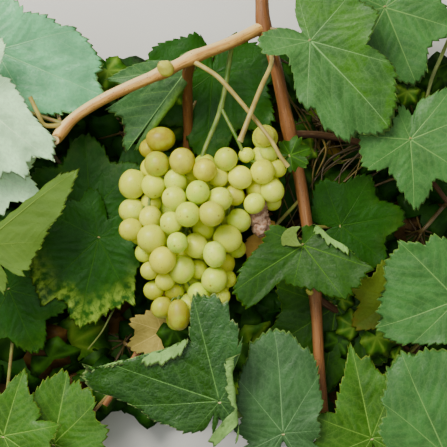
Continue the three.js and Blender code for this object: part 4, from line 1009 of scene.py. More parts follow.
# The nodes of the materials: kind, the output that counts, the inputs in the order in which they are
# given, and settings. The patterns' coordinates are in millimetres, so noise or cells with a scale of
# 1 / 8 have lumps of about 8 mm.
NODES = {
    "grain": ("ShaderNodeAttribute", "Vector", (), dict(attribute_name="grain")),
    "mark": ("ShaderNodeAttribute", "Vector", (), dict(attribute_name="mark")),
    "tone": ("ShaderNodeAttribute", "Vector", (), dict(attribute_name="tone")),
    "place": ("ShaderNodeTexCoord", "Object", (), {}),
    "parts": ("ShaderNodeSeparateXYZ", None, (0,), {}),
    "stretched": ("ShaderNodeMapping", 0, ("Vector", "Scale"), {}),
    "noise": ("ShaderNodeTexNoise", 0, ("Vector", "Scale", "Detail", "Roughness"), {}),
    "wobble": ("ShaderNodeTexNoise", 1, ("Vector", "Scale", "Detail"), {}),
    "cells": ("ShaderNodeTexVoronoi", "Distance", ("Vector", "Scale"), dict(feature="F1")),
    "cell_edges": ("ShaderNodeTexVoronoi", "Distance", ("Vector", "Scale"),
                   dict(feature="DISTANCE_TO_EDGE")),
    "bent": ("ShaderNodeVectorMath", 0, (0, 1, 2), dict(operation="MULTIPLY_ADD")),
    "plus": ("ShaderNodeMath", 0, (0, 1), dict(operation="ADD")),
    "times": ("ShaderNodeMath", 0, (0, 1), dict(operation="MULTIPLY")),
    "larger": ("ShaderNodeMath", 0, (0, 1), dict(operation="MAXIMUM")),
    "step": ("ShaderNodeMapRange", 0, (0, 1, 2, 3, 4), dict(interpolation_type="SMOOTHSTEP")),
    "blend": ("ShaderNodeMix", 2, (0, 6, 7), dict(data_type="RGBA")),
    "bump": ("ShaderNodeBump", 0, ("Height", "Strength", "Distance"), {}),
    "shader": ("ShaderNodeBsdfPrincipled", 0, ("Base Color", "Normal", "Roughness"), {}),
    "surface": ("ShaderNodeOutputMaterial", None, ("Surface",), {}),
}


def add(material, kind, *values, more=()):
    """Adds one of the nodes, and gives its inputs values or the sockets that they come from, more by
    name. A colour may be a hex code or linear. Gives the output that counts, or else all of them."""
    name, output, inputs, settings = NODES[kind]
    made = material.node_tree.nodes.new(name)
    for key, value in settings.items():
        setattr(made, key, value)
    for key, value in [*zip(inputs, values), *dict(more).items()]:
        if isinstance(value, bpy.types.NodeSocket):
            material.node_tree.links.new(value, made.inputs[key])
            continue
        if made.inputs[key].type == "RGBA":
            value = (*(linear(value) if isinstance(value, str) else value)[:3], 1)
        made.inputs[key].default_value = value
    return made.outputs if output is None else made.outputs[output]


def new_material(name):
    """A material whose nodes are still to be added."""
    material = bpy.data.materials.new(name)
    material.use_nodes = True
    material.node_tree.nodes.clear()
    return material


def bark_material(name, light, deep, dark, painted_highlight, cut, rough):
    """Ripened bark of a vine shoot: a smooth skin that dries in fine lengthwise strips 0.9 mm wide.
    To the eye it is satin along the shoot's top, with darker streaks and small dark warts. The side
    that faces the key light is painted lighter, as a painted highlight, and the side away from it is
    painted darker, as painted shade."""
    material = new_material(name)
    grain = add(material, "grain")
    end, ring, facing = add(material, "parts", add(material, "mark"))
    strips = add(material, "noise", add(material, "stretched", grain, (1, 1, 0.06)), 1 / 0.9, 4, 0.55)
    broad = add(material, "noise", add(material, "stretched", grain, (1, 1, 0.1)), 1 / 4, 3, 0.55)
    patches = add(material, "noise", add(material, "stretched", grain, (1, 1, 0.6)), 1 / 16, 3, 0.55)
    warts = add(material, "cells", grain, 1 / 2.6)
    colour = add(material, "blend", add(material, "step", broad, 0.38, 0.62), light, deep)
    for share, over in (
        (add(material, "step", patches, 0.45, 0.62, 0, 0.7), deep),
        (add(material, "step", strips, 0.54, 0.7, 0, 0.45), dark),
        (add(material, "step", strips, 0.4, 0.28, 0, 0.35), cut[1]),
        # Painted highlight on the side that faces the key light, then painted shade on the side away from
        # it
        (add(material, "step", facing, 0.6, 1.0, 0, 0.65), painted_highlight),
        (add(material, "step", facing, 0.45, -0.4, 0, 0.7), darker(deep, 0.5)),
        (add(material, "step", warts, 0.2, 0.1, 0, 0.8), dark),
    ):
        colour = add(material, "blend", share, colour, over)
    wood = add(material, "blend", add(material, "step", ring, 0.34, 0.5), *cut)
    wood = add(material, "blend", add(material, "step", ring, 0.86, 0.94), wood, dark)
    colour = add(material, "blend", end, colour, wood)
    height = add(material, "plus", strips, add(material, "times", broad, 0.8))
    bark = add(material, "shader", colour, add(material, "bump", height, 0.5, 0.6 * MM),
               add(material, "step", strips, 0.3, 0.7, rough - 0.08, rough + 0.12), more={"IOR": 1.45})
    add(material, "surface", bark)
    return material


def stalk_material(name, light, deep, tip):
    """Fresh or drying leaf stalk: a fibrous green skin, ribbed lengthwise. To the eye it is a soft satin
    that goes from one colour to the other in long streaks, paler and drier at a cut end."""
    material = new_material(name)
    grain = add(material, "grain")
    end = add(material, "parts", add(material, "mark"))[0]
    streaks = add(material, "noise", add(material, "stretched", grain, (1, 1, 0.06)), 1 / 1.1, 3, 0.55)
    broad = add(material, "noise", grain, 1 / 18, 2, 0.55)
    colour = add(material, "blend", add(material, "step", broad, 0.35, 0.65), light, deep)
    colour = add(material, "blend", add(material, "step", streaks, 0.5, 0.75, 0, 0.5), colour, deep)
    colour = add(material, "blend", end, colour, tip)
    stalk = add(material, "shader", colour, add(material, "bump", streaks, 0.4, 0.3 * MM), 0.48,
                more={"Subsurface Weight": 0.15, "Subsurface Radius": (0.6, 0.8, 0.3),
                      "Subsurface Scale": 2 * MM})
    add(material, "surface", stalk)
    return material


def berry_material(name, green, gold, amber, bloom, speck):
    """Ripe white grape: a thin clear skin over watery flesh, under a waxy bloom that handling and
    leaves rub off in patches. To the eye the light goes a few millimetres in, the highlight is
    broad and milky, and small brown corky specks and a dot at the tip mark the skin."""
    material = new_material(name)
    grain = add(material, "grain")
    tip, _, ripe = add(material, "parts", add(material, "mark"))
    random, other, _ = add(material, "parts", add(material, "tone"))
    clouds = add(material, "noise", grain, 1 / 8, 3, 0.55)
    wax = add(material, "noise", grain, 1 / 4, 5, 0.55)
    waxed = add(material, "times", add(material, "step", wax, 0.4, 0.62, 0.02, 0.26), other)
    burnt = add(material, "times", ripe, add(material, "step", clouds, 0.25, 0.6, 0.55, 1))
    specks = add(material, "step", add(material, "cells", grain, 1 / 2.2), 0.17, 0.09)
    sown = add(material, "step", add(material, "noise", grain, 1 / 4, 1, 0.55), 0.47, 0.55)
    spotted = add(material, "times", add(material, "times", specks, sown), 0.8)
    colour = add(material, "blend", random, green, gold)
    for share, over in (
        (add(material, "step", clouds, 0.4, 0.66, 0, 0.5), gold),
        (waxed, bloom),
        (burnt, amber),
        (spotted, speck),
        (add(material, "step", tip, 0.992, 0.998, 0, 0.7), speck),
    ):
        colour = add(material, "blend", share, colour, over)
    grape = add(material, "shader", colour, add(material, "bump", wax, 0.12, 0.3 * MM),
                add(material, "step", wax, 0.35, 0.65, 0.26, 0.44),
                more={"IOR": 1.4, "Subsurface Weight": 0.5, "Subsurface Radius": (0.95, 1.0, 0.16),
                      "Subsurface Scale": 7 * MM})
    add(material, "surface", grape)
    return material


def withered_material(name, light, deep):
    """A grape that dried on its stalk: leathery wrinkled skin, dull, grey-pink where the wrinkles rise and
    darker brown where they sink."""
    material = new_material(name)
    folds = add(material, "noise", add(material, "grain"), 1 / 3, 4, 0.55)
    colour = add(material, "blend", add(material, "step", folds, 0.35, 0.65), deep, light)
    dried = add(material, "shader", colour, add(material, "bump", folds, 0.6, 0.8 * MM), 0.62)
    add(material, "surface", dried)
    return material


def blade_material(name, upper, shade, vein, under, rough, gloss=0.3, aged=None, rim=None, other=None,
                   net=0.1, relief=0.4):
    """A vine leaf: a waxy upper side over a paler, slightly downy underside. To the eye the upper side
    is a satin green, mottled between a faint net of paler veins in cells of about 4 mm, the underside
    is dull and light, and the rim is a thin lighter line. One half may be painted in another colour,
    as painted light or painted shade on that half."""
    material = new_material(name)
    grain = add(material, "grain")
    along, side, _ = add(material, "parts", grain)
    below, rib, reach = add(material, "parts", add(material, "mark"))
    clouds = add(material, "noise", grain, 1 / 20, 3, 0.55)
    fine = add(material, "noise", grain, 1 / 2.2, 5, 0.55)
    wobble = add(material, "wobble", grain, 0.3, 2)
    wide_net = add(material, "cell_edges", add(material, "bent", wobble, (3, 3, 0), grain), 1 / 4.2)
    line = add(material, "step", wide_net, 0.08, 0.01, 0, net)
    colour = upper
    # Painted light and shade: the half beyond the midrib takes the other colour, as the light that shines
    # through it or the shade on it
    if other:
        half = add(material, "plus", side, add(material, "times", clouds, 8))
        colour = add(material, "blend", add(material, "step", half, 2, 9), upper, other)
    colour = add(material, "blend", add(material, "step", clouds, 0.38, 0.66, 0, 0.8), colour, shade)
    colour = add(material, "blend", add(material, "step", fine, 0.42, 0.7, 0, 0.4), colour, shade)
    colour = add(material, "blend", line, colour, vein)
    if aged:
        spots = add(material, "noise", grain, 1 / 6.5, 4, 0.55)
        old = add(material, "times", add(material, "step", reach, 0.55, 1),
                  add(material, "step", spots, 0.34, 0.66, 0, 0.85))
        old = add(material, "times", old, add(material, "step", along, 8, 46))
        old = add(material, "times", old, add(material, "parts", add(material, "tone"))[1])
        colour = add(material, "blend", old, colour, aged)
    if rim:
        colour = add(material, "blend", add(material, "step", reach, 0.975, 1, 0, 0.7), colour, rim)
    colour = add(material, "blend", add(material, "times", rib, 0.75), colour, vein)
    downy = add(material, "blend", 0.4, under, shade)
    back = add(material, "blend", add(material, "step", clouds, 0.3, 0.7), under, downy)
    back = add(material, "blend", add(material, "larger", rib, line), back, vein)
    colour = add(material, "blend", below, colour, back)
    pad = add(material, "step", wide_net, 0, 0.3)
    height = add(material, "plus", add(material, "times", pad, 0.5), fine)
    waxy = add(material, "step", fine, 0.3, 0.7, rough - 0.06, rough + 0.1)
    dull = add(material, "larger", waxy, add(material, "times", below, 0.68))
    blade = add(material, "shader", colour, add(material, "bump", height, relief, 0.4 * MM), dull,
                more={"IOR": 1.4, "Specular IOR Level": gloss})
    add(material, "surface", blade)
    return material


def floor_material(colour):
    """Matt painted studio floor: no gloss, so only soft shadows show on it."""
    material = new_material("studio_floor_matt")
    mottle = add(material, "noise", add(material, "place"), 6, 2)
    base = add(material, "blend", mottle, darker(colour, 0.95), colour)
    add(material, "surface", add(material, "shader", base, more={"Roughness": 0.9}))
    return material


# The user's sizes and colours


def size_property(name, description, default):
    """A length, with its default in millimetres."""
    return bpy.props.FloatProperty(name=name, description=description, default=default * MM, min=0.0,
                                   subtype="DISTANCE", unit="LENGTH", precision=4)


def share_property(name, description, default, top):
    """A share between none and the top."""
    return bpy.props.FloatProperty(name=name, description=description, default=default, min=0.0, max=top,
                                   subtype="FACTOR")


def colour_property(name, description, code):
    """A colour, with its default as a hex code."""
    return bpy.props.FloatVectorProperty(name=name, description=description, default=linear(code), size=3,
                                         min=0.0, max=1.0, subtype="COLOR")


class GRAPEVINE_PG_sizes(bpy.types.PropertyGroup):
    """Sizes of the plant's fine detail"""

    blade: size_property("Blade", "Thickness of a leaf blade", 0.5)
    tooth: size_property("Tooth", "Width of a tooth on a leaf's margin", 6.2)
    tooth_height: size_property("Tooth height", "Height of a tooth on a leaf's margin", 2.9)
    pucker: size_property("Pucker", "How far a blade puffs up between its veins", 0.9)
    vein: size_property("Vein", "Radius of the midrib at the junction", 0.85)
    bark: share_property("Bark relief", "Depth of the bark's ridges, as a share of the radius", 0.018, 0.2)
    oval: share_property("Oval", "How much longer than wide a berry is", 0.07, 0.5)


class GRAPEVINE_PG_colours(bpy.types.PropertyGroup):
    """Colours of the plant's finishes"""

    tan_bark: colour_property("Tan bark", "Ripened bark in the light", "#e2b056")
    tan_bark_deep: colour_property("Tan bark, deep", "Ripened bark in its streaks", "#bc8440")
    red_bark: colour_property("Red bark", "Bark of the shaded canes", "#96602e")
    red_bark_deep: colour_property("Red bark, deep", "Streaks of the shaded canes", "#7c4c22")
    bark_dark: colour_property("Bark cracks", "Cracks and warts of the bark", "#523218")
    wood: colour_property("Wood", "Cut wood at a cane's end", "#e0c690")
    pith: colour_property("Pith", "Pith in a cut end", "#7a5632")
    stalk_green: colour_property("Green stalk", "Stalks of the bunch", "#456e0c")
    stalk_straw: colour_property("Straw stalk", "Drying leaf stalks", "#b8a858")
    berry_green: colour_property("Berry, green", "The greenest berries", "#c6e43e")
    berry_gold: colour_property("Berry, gold", "The ripest berries", "#eaea44")
    berry_amber: colour_property("Berry, amber", "Sunburnt berries", "#9c860c")
    berry_bloom: colour_property("Bloom", "Wax on the berries", "#e2ec98")
    withered: colour_property("Withered", "Dried berries", "#cda88c")
    # Leaf, sky, front and sheen are painted sheen: pale and bluish as the sky light's reflection on waxy
    # upper sides
    leaf_sky: colour_property("Leaf, sky", "Upper sides that mirror the sky", "#68b37b")
    leaf_front: colour_property("Leaf, front", "The palest upper side", "#c5f2b7")
    leaf_sheen: colour_property("Leaf, sheen", "Upper sides with a cool sheen", "#457436")
    leaf_cool: colour_property("Leaf, cool", "Bluish upper sides", "#3c6632")
    leaf_open: colour_property("Leaf, open", "Upper sides in open shade", "#427733")
    leaf_fold: colour_property("Leaf, folded", "The folded leaf at the foot", "#345f28")
    leaf_deep: colour_property("Leaf, deep", "Smooth upper sides beside the bunch", "#224c00")
    leaf_bright: colour_property("Leaf, bright", "Upper sides that light shines through", "#3c6d14")
    # Leaf, lime is used only as painted light: the half of the leaf behind the cane that light shines
    # through
    leaf_lime: colour_property("Leaf, lime", "Young leaves", "#6c9426")
    leaf_dark: colour_property("Leaf, dark", "Upper sides in deep shade", "#1d5003")
    leaf_back: colour_property("Leaf, underside", "Undersides", "#547420")
    leaf_glow: colour_property("Leaf, glow", "Sides that light shines through", "#3c6e04")
    # Leaf, lobe is partly painted light: paler and yellower than its own leaf, as light shining through the
    # lobe
    leaf_lobe: colour_property("Leaf, lobe", "The lobe that is curled up", "#64802c")
    # Leaf, rust is partly painted light: brighter than the other dead leaf, against the shade beside the
    # bunch
    leaf_rust: colour_property("Leaf, rust", "The dead leaf beside the bunch", "#cc9c48")
    leaf_dry: colour_property("Leaf, dry", "Dead leaves", "#a8984a")
    leaf_olive: colour_property("Leaf, olive", "Yellowing leaves", "#6c8428")
    floor: colour_property("Floor", "Studio floor", "#dedbd4")


def sizes_of(context):
    """The user's sizes, in millimetres where they are lengths."""
    sizes = context.scene.grapevine_sizes
    made = {key: getattr(sizes, key) / MM for key in ("blade", "tooth", "tooth_height", "pucker", "vein")}
    return dict(made, bark=sizes.bark, oval=sizes.oval)


def limb_line(name, steps):
    """A limb's places, and its radii: a taper with a rounded swelling at each node."""
    spec = LIMBS[name]
    share = np.linspace(0, 1, steps)
    swell = sum((0.22 * bell(share - node, 0.035) for node in spec["nodes"]), 0 * share)
    return place_at(spline(spec["points"]), share), between(spec["radii"], share) * (1 + swell)


def bark_relief(line, sides, depth, seed):
    """Lengthwise ridges that drift round the cane, and slow lumps."""
    ring = polar(6, turns(sides))
    places = np.stack(np.broadcast_arrays(ring[:, 0], ring[:, 1], way_along(line)[:, None] * 0.12), axis=-1)
    lumps = places * [1, 1, 3]
    return depth * (ripple(places, 2.6, seed) + 0.7 * ripple(lumps, 9, seed + 1))


def limb_skin(name, sides, steps, depth, seed):
    """A limb of the plan with its bark."""
    line, radius = limb_line(name, steps)
    return tube(line, radius, sides, bark_relief(line, sides, depth, seed))


def cane_skin(name, sides, steps, depth):
    """A cane or lateral with its bark, ridged by a rule of its own."""
    return limb_skin(name, sides, steps, depth, len(name) * 7)


def bud_skin(at, way, length, width, sides=20):
    """A bud: scales that overlap round a cone, which is plump at the base and ends in a blunt tip."""
    share = np.linspace(0, 1, 16)
    line = np.array(at, float) + share[:, None] * unit(np.array(way, float)) * length
    radius = width * np.sin(math.pi * np.clip(share * 0.72 + 0.26, 0, 1)) ** 0.8 + 0.15
    scales = 0.07 * np.sign(np.sin(2 * turns(sides) + 9 * share[:, None])) * share[:, None]
    return tube(line, radius, sides, scales, material=1)


class GRAPEVINE_OT_canes(bpy.types.Operator):
    """Canes and laterals with ridged bark, nodes, buds and cut ends"""

    bl_idname = "grapevine.canes"
    bl_label = "Canes"

    def execute(self, context):
        colours, sizes = context.scene.grapevine_colours, sizes_of(context)
        cut, dark, depth = (colours.pith, colours.wood), colours.bark_dark, sizes["bark"]
        # The fifth colour of each bark is its painted highlight; the laterals' shaded bark is a darker
        # copy, painted shade
        tan = bark_material("ripened_bark_tan", colours.tan_bark, colours.tan_bark_deep, dark, "#f0d898",
                            cut, 0.5)
        red = bark_material("ripened_bark_red", colours.red_bark, colours.red_bark_deep, dark, "#b98450",
                            cut, 0.5)
        shaded = bark_material("ripened_bark_shaded", "#5c4020", dark, darker(dark, 0.5), "#6c5430",
                               cut, 0.7)
        bud = stalk_material("bud_scales_green", "#c6c648", "#a89c38", "#8a6a3a")
        left = [cane_skin("cane_left", 64, 420, depth),
                bud_skin((-42, 117.5, 114.5), (-0.55, 0.4, 0.7), 13, 6)]
        make_piece("cane_left_bark", left, [tan, bud], ["cane_left"])
        main = [cane_skin("cane_main", 64, 620, depth), bud_skin((71, -56, 74), (-0.6, 0.4, 0.5), 7, 2.4)]
        make_piece("cane_main_bark", main, [red, bud], ["cane_main"])
        back = [cane_skin("cane_back", 48, 460, depth)]
        make_piece("cane_back_bark", back, [red], ["cane_back"])
        names = ["lateral_left", "lateral_right", "lateral_low"]
        laterals = [cane_skin(name, 32, 260, depth) for name in names]
        make_piece("laterals_bark", laterals, [shaded], names)
        return {"FINISHED"}


class GRAPEVINE_OT_stalks(bpy.types.Operator):
    """Leaf stalks that have lost their blades: the long, the pale and the short one"""

    bl_idname = "grapevine.stalks"
    bl_label = "Bare leaf stalks"

    def execute(self, context):
        colours = context.scene.grapevine_colours
        straw = stalk_material("leaf_stalk_drying", colours.stalk_straw, "#94803c", "#e6dca0")
        names = ["petiole_long", "petiole_pale", "petiole_stub"]
        skins = [limb_skin(name, 24, 160, 0.03, len(name)) for name in names]
        make_piece("bare_leaf_stalks", skins, [straw], names)
        return {"FINISHED"}


class GRAPEVINE_OT_bunch(bpy.types.Operator):
    """The bunch and its wing: green stalks, and berries round them"""

    bl_idname = "grapevine.bunch"
    bl_label = "Bunch"

    def execute(self, context):
        colours, sizes = context.scene.grapevine_colours, sizes_of(context)
        green = stalk_material("bunch_stalk_green", colours.stalk_green, "#7f8d3e", "#c4b878")
        skin_of_berry = berry_material("grape_skin_white", colours.berry_green, colours.berry_gold,
                                       colours.berry_amber, colours.berry_bloom, "#7a5a2c")
        packed = pack_berries()
        for wing, name in ((False, "bunch_main"), (True, "bunch_wing")):
            berries = [berry for berry in packed if berry["wing"] == wing]
            places = np.array([berry["place"] for berry in berries])
            radii = np.array([berry["radius"] for berry in berries]) * 1.02
            roots = np.array([nearest_core(berry) for berry in berries])
            chance = np.random.default_rng(SEEDS["wing" if wing else "bunch"])
            ripe = np.array([berry["ripe"] for berry in berries])
            shapes = [berry["shape"] for berry in berries]
            make_piece(name + "_berries",
                       berry_skins(places, radii, roots, chance, ripe, sizes["oval"], shapes=shapes),
                       [skin_of_berry], [name])
            stalk = "wing_stalk" if wing else "peduncle"
            stalks = [limb_skin(stalk, 20, 140, 0.04, 3)]
            fork = LIMBS[stalk]["points"][-1]
            for pod in PODS:
                if pod["wing"] == wing:
                    start, end = np.array(pod["start"], float), np.array(pod["end"], float)
                    middle = start if start[1] < fork[1] else (start + end) / 2
                    stalks.append(stalk_skin(spline([fork, middle, end]), 1.8, 1.0, steps=40))
            for root, place, size in zip(roots, places, radii):
                base = place + unit(root - place) * size * 0.9
                middle = (root + base) / 2 + np.array([0, 2.5, 0])
                path = spline([root, middle, base])
                stalks.append(stalk_skin(path, 0.8, 1.0, sides=6, steps=8, flare=0.7))
            make_piece(name + "_stalks", stalks, [green], [name])
        return {"FINISHED"}


class GRAPEVINE_OT_withered(bpy.types.Operator):
    """Shrivelled berries on a stalk of their own, between the bunch and its wing"""

    bl_idname = "grapevine.withered"
    bl_label = "Withered berries"

    def execute(self, context):
        colours = context.scene.grapevine_colours
        dried = withered_material("grape_skin_dried", colours.withered, "#8c6040")
        brown = stalk_material("bunch_stalk_dried", "#8d7145", "#5f4628", "#8d7145")
        start, end = np.array([26, 13, 82.0]), np.array([30, -2, 80.0])
        places = np.array([start, (start + end) / 2, end])
        radii = 9.3 * np.array([1, 0.94, 0.88])
        chance = np.random.default_rng(SEEDS["withered"])
        skins = berry_skins(places, radii, places + [3, 12, 2], chance, np.zeros(3), 0.1, wrinkle=0.1)
        path = spline([(33, 46, 86), (26, 32, 82), start, end])
        stalk = stalk_skin(path, 1.2, 0.8, steps=40, material=1)
        make_piece("withered_grapes", skins + [stalk], [dried, brown], ["withered_berries"])
        return {"FINISHED"}


def blade_finishes(colours):
    """A material for each finish of blade: its colour is the user's, and its shade a part of that."""
    made = {}
    for key, look in FINISHES.items():
        upper = getattr(colours, look.get("upper", "leaf_" + key))
        more = {part: look[part] for part in ("vein", "rim", "aged", "rough", "gloss") if part in look}
        if "other" in look:
            more["other"] = getattr(colours, look["other"])
        more["under"] = look.get("under", colours.leaf_back)
        more["relief"] = look.get("relief", 0.4)
        made[key] = blade_material("vine_leaf_" + key, upper, darker(upper, 0.6), **more)
    return made


class GRAPEVINE_OT_leaves(bpy.types.Operator):
    """The leaves that the view shows, each with its stalk, veins and toothed margin"""

    bl_idname = "grapevine.leaves"
    bl_label = "Leaves"

    def execute(self, context):
        colours, sizes = context.scene.grapevine_colours, sizes_of(context)
        finishes = blade_finishes(colours)
        stalk = stalk_material("leaf_stalk_fresh", "#8f9a40", "#7d5a34", "#c4b878")
        for n, leaf in enumerate(LEAVES):
            paths, radii = veins(leaf)
            under_rings = 24 if leaf.get("roll") == 180 or "curls" in leaf else 15
            blade, puff_at = blade_skin(leaf, sizes, 24, under_rings, paths)
            skins = [blade]
            if "node" not in leaf:
                skins += vein_skins(leaf, paths, radii, sizes, puff_at)
                skins.append(stalk_skin(stalk_path(leaf), 1.3, 1.5, sides=12, steps=40, material=1, seed=n))
            tone = (n / len(LEAVES), AGED.get(leaf["name"], 0.1), 0)
            finish = leaf["finish"]
            make_piece(leaf["name"] + "_grown", skins, [finishes[finish], stalk],
                       [leaf.get("node", leaf["name"])], tone)
        return {"FINISHED"}


# Bare stems that the view shows among the small leaves, each as points and a radius
HAND_STEMS = [
    ([(186, 156, 62), (175.7, 134.5, 70), (168, 117, 72), (163.6, 101.4, 72), (158, 88, 62)], 1.5),
    ([(-184, 52, 64), (-171, 36, 70), (-158, 22, 70), (-150, 6, 62)], 1.4),
    ([(-84, -58, 44), (-92, -74, 54), (-100, -89, 54), (-112, -104, 46)], 0.8),
]
# Small leaves of the undergrowth that the view shows: finish, place, heading and size, by mass
HAND_LEAVES = {
    "foliage_b1": [("green", -40, -85, 72, -62, 20), ("dark", -34, -92, 70, -40, 18)],
    "foliage_e3": [("lit", 147, 106, 78, -100, 15), ("lit", 158, 96, 72, 20, 12)],
    "foliage_d2": [("lit", 96, -62, 62, 30, 13), ("lit", 72, 62, 50, 200, 13),
                   ("green", 62, 82, 48, -70, 17)],
    "foliage_b2": [("lit", -66, -22, 62, -120, 15)],
    "foliage_b3": [("lit", -92, 122, 84, -50, 19), ("lit", -42, 106, 80, -100, 15)],
    "foliage_e1": [("lit", 124, -92, 66, -60, 20), ("lit", 106, -84, 62, 150, 17),
                   ("green", 94, -96, 58, -110, 18), ("lit", 140, -110, 60, 20, 13)],
}
# The finishes of the small leaves, dealt in turn
DEAL = ("dark", "green", "dark", "brown", "green", "dark", "lit", "dark", "green", "dark")


def thin_stem(points, radii, steps, sides):
    """A thin stem along a curve, tapered between two radii, whose ends are hidden."""
    line = place_at(spline(points), np.linspace(0, 1, steps))
    return tube(line, np.linspace(*radii, steps), sides, capped=False)


def dead_tendrils():
    """Dead tendrils that hang from the lateral and the cane right of the bunch, by colour."""
    chance = np.random.default_rng(SEEDS["tendrils"])
    strands = {"brown": [], "ochre": []}
    for k in range(TENDRILS):
        limb, shares = ("lateral_right", (0.05, 0.75)) if k % 3 else ("cane_main", (0.14, 0.42))
        start = place_at(spline(LIMBS[limb]["points"]), chance.uniform(*shares)) + [0, 0, -2]
        end = np.array([chance.uniform(38, 104), start[1] - chance.uniform(22, 90), chance.uniform(40, 56)])
        bow = (start + end) / 2 + [chance.uniform(-16, 16), chance.uniform(4, 22), chance.uniform(-8, 2)]
        radii = np.array([0.45, 0.95]) * chance.uniform(0.7, 1.3)
        strands["ochre" if k % 4 == 1 else "brown"].append(thin_stem([end, bow, start], radii, 20, 5))
    return strands


def kind_of(number, cell, place):
    """The finish of a mass's leaf. Behind the bunch's right side most of the finer ones are dead."""
    behind = np.hypot((place[0] - 52) / 46, (place[1] - 30) / 62) < 1
    if behind and number > 2 and number % 3 < 2:
        return "ochre" if number % 5 == 0 else "brown"
    return DEAL[(number + 3 * cell) % len(DEAL)]


class GRAPEVINE_OT_undergrowth(bpy.types.Operator):
    """The leafy undergrowth: from each mass's stem, twigs with finer leaves that fill its reach"""

    bl_idname = "grapevine.undergrowth"
    bl_label = "Undergrowth"

    def execute(self, context):
        colours = context.scene.grapevine_colours
        # Painted shade: the undergrowth takes the leaf colours darkened by a fifth and the underside
        # darkened by half, as shade under the upper leaves; the lit kind is painted as leaves that light
        # shines through
        under = darker(colours.leaf_back, 0.5)
        kinds = {
            "dark": (darker(colours.leaf_dark, 0.8), "#274c0e"),
            "green": (darker(colours.leaf_deep, 0.8), "#3f6a18"),
            "lit": (colours.leaf_bright, "#7c9c34"),
            "brown": (linear("#4a3410"), "#5a4018"),
            "ochre": (linear("#86701c"), "#94782c"),
        }
        twig = stalk_material("undergrowth_twig", "#6a5a2c", "#4a3018", "#6a5a2c")
        groups = {kind: [] for kind in kinds}
        twigs, nodes = [], []
        for cell, (name, centre, seed) in enumerate(mass_cells()):
            draw = seeded(seed)
            big = mass_leaves(centre, draw)
            small = spray_leaves(centre, draw)
            root = nearest_limb_place(centre)
            runs = [(*between((root, centre), share)[:2], RUN_HEIGHT) for share in (0.12, 0.92)]
            stem = spline([root, *runs, centre - [0, 0, 5.2]])
            twigs.append(stalk_skin(stem, 1.8, 1.5, steps=40))
            for leaf in small:
                start = place_at(stem, 0.45 + 0.5 * draw())
                middle = (start + leaf["at"]) / 2 - [0, 0, 3]
                twigs.append(thin_stem([leaf["at"], middle, start], (0.6, 0.9), 6, 4))
            for number, leaf in enumerate(big + small):
                groups[kind_of(number, cell, leaf["at"])].append(small_blade(leaf, draw()))
            for kind, *place, heading, size in HAND_LEAVES.get(name, ()):
                leaf = dict(at=place, heading=heading, size=size, crease=14, droop=20, wave=0.02)
                groups[kind].append(small_blade(leaf, draw()))
                start = place_at(stem, 0.9)
                middle = (np.array(place) + start) / 2 - [0, 0, 6]
                twigs.append(thin_stem([place, middle, start], (0.7, 1.0), 12, 5))
            nodes.append(name)
        strands = dead_tendrils()
        for kind, light, deep in (("brown", "#5c4a18", "#382a0c"), ("ochre", "#84702c", "#5c4a1c")):
            dead = stalk_material("dead_tendril_" + kind, light, deep, light)
            make_piece("dead_tendrils_" + kind, strands[kind], [dead],
                       ["foliage_d2", "foliage_d3"])
        for kind, (upper, vein) in kinds.items():
            leafy = blade_material("vine_leaf_undergrowth_" + kind, upper, darker(upper, 0.45), vein, under,
                                   0.5, 0.15, net=0.03)
            make_piece("undergrowth_leaves_" + kind, groups[kind], [leafy], nodes)
        make_piece("undergrowth_twigs", twigs, [twig], nodes)
        fresh = stalk_material("undergrowth_stem_green", "#8a9a48", "#6c7434", "#8a9a48")
        stems = [thin_stem(points, (1.1 * radius, 0.8 * radius), 40, 8) for points, radius in HAND_STEMS]
        make_piece("undergrowth_stems", stems, [fresh],
                   ["foliage_e3", "foliage_a2", "foliage_b1"])
        return {"FINISHED"}


def area_light(name, place, size, power, colour):
    """A square soft light that faces the middle of the plant."""
    lamp = bpy.data.lights.new(name, "AREA")
    lamp.shape = "SQUARE"
    lamp.size, lamp.energy, lamp.color = size, power, colour
    holder = bpy.data.objects.new(name, lamp)
    holder.location = place
    holder.rotation_mode = "QUATERNION"
    holder.rotation_quaternion = (Vector(LIGHT_AIM) - Vector(place)).to_track_quat("-Z", "Y")
    bpy.context.scene.collection.objects.link(holder)
    return holder


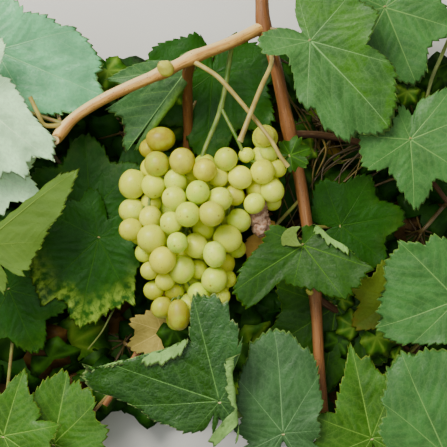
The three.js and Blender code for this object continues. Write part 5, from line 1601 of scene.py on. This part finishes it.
class GRAPEVINE_OT_stage(bpy.types.Operator):
    """Pale floor, soft daylight from the upper left, and the camera straight above"""

    bl_idname = "grapevine.stage"
    bl_label = "Stage"

    def execute(self, context):
        scene = context.scene
        mesh = bpy.data.meshes.new("studio_floor")
        corners = [(x * FLOOR_REACH, y * FLOOR_REACH, CAD_BOX[0][2])
                   for x, y in ((-1, -1), (1, -1), (1, 1), (-1, 1))]
        mesh.from_pydata(corners, [], [(0, 1, 2, 3)])
        mesh.materials.append(floor_material(scene.grapevine_colours.floor))
        floor = bpy.data.objects.new("studio_floor", mesh)
        scene.collection.objects.link(floor)
        lights = [
            area_light("key", (-0.5, 0.75, 1.0), 0.6, 21.0, (1.0, 0.97, 0.88)),
            area_light("sky", (-0.4, 0.3, 1.3), 1.5, 13.0, (0.92, 0.98, 1.0)),
            area_light("fill", (0.9, -0.5, 0.8), 1.0, 3.5, (0.97, 1.0, 0.9)),
        ]
        world = bpy.data.worlds.new("studio")
        world.use_nodes = True
        background = world.node_tree.nodes["Background"]
        background.inputs["Color"].default_value = (0.95, 0.98, 1.0, 1)
        background.inputs["Strength"].default_value = 0.13
        scene.world = world
        lens = bpy.data.cameras.new("camera")
        lens.sensor_width = SENSOR_WIDTH
        lens.lens = SENSOR_WIDTH / VIEW_WIDTH
        lens.dof.use_dof = False
        camera = bpy.data.objects.new("camera", lens)
        camera.location = (np.array([0, 0, CAMERA_HEIGHT]) - PLANT_CENTRE) * MM
        scene.collection.objects.link(camera)
        scene.camera = camera
        return {"FINISHED"}


OPERATORS = (GRAPEVINE_OT_canes, GRAPEVINE_OT_stalks, GRAPEVINE_OT_bunch, GRAPEVINE_OT_withered,
             GRAPEVINE_OT_leaves, GRAPEVINE_OT_undergrowth, GRAPEVINE_OT_stage)


class GRAPEVINE_PT_panel(bpy.types.Panel):
    """Lists the plant's pieces, sizes and colours"""

    bl_idname = "GRAPEVINE_PT_panel"
    bl_label = "Grapevine"
    bl_space_type = "VIEW_3D"
    bl_region_type = "UI"
    bl_category = "Grapevine"

    def draw(self, context):
        for operator in OPERATORS:
            self.layout.operator(operator.bl_idname)
        for group in (context.scene.grapevine_sizes, context.scene.grapevine_colours):
            for key in group.bl_rna.properties.keys():
                if key not in ("rna_type", "name"):
                    self.layout.prop(group, key)


CLASSES = (GRAPEVINE_PG_sizes, GRAPEVINE_PG_colours, *OPERATORS, GRAPEVINE_PT_panel)


def register():
    for one in CLASSES:
        bpy.utils.register_class(one)
    bpy.types.Scene.grapevine_sizes = bpy.props.PointerProperty(type=GRAPEVINE_PG_sizes)
    bpy.types.Scene.grapevine_colours = bpy.props.PointerProperty(type=GRAPEVINE_PG_colours)


def unregister():
    del bpy.types.Scene.grapevine_sizes, bpy.types.Scene.grapevine_colours
    for one in reversed(CLASSES):
        bpy.utils.unregister_class(one)


def main():
    register()
    for name in ("canes", "stalks", "bunch", "withered", "leaves", "undergrowth", "stage"):
        getattr(bpy.ops.grapevine, name)()
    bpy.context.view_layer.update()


if __name__ == "__main__":
    main()
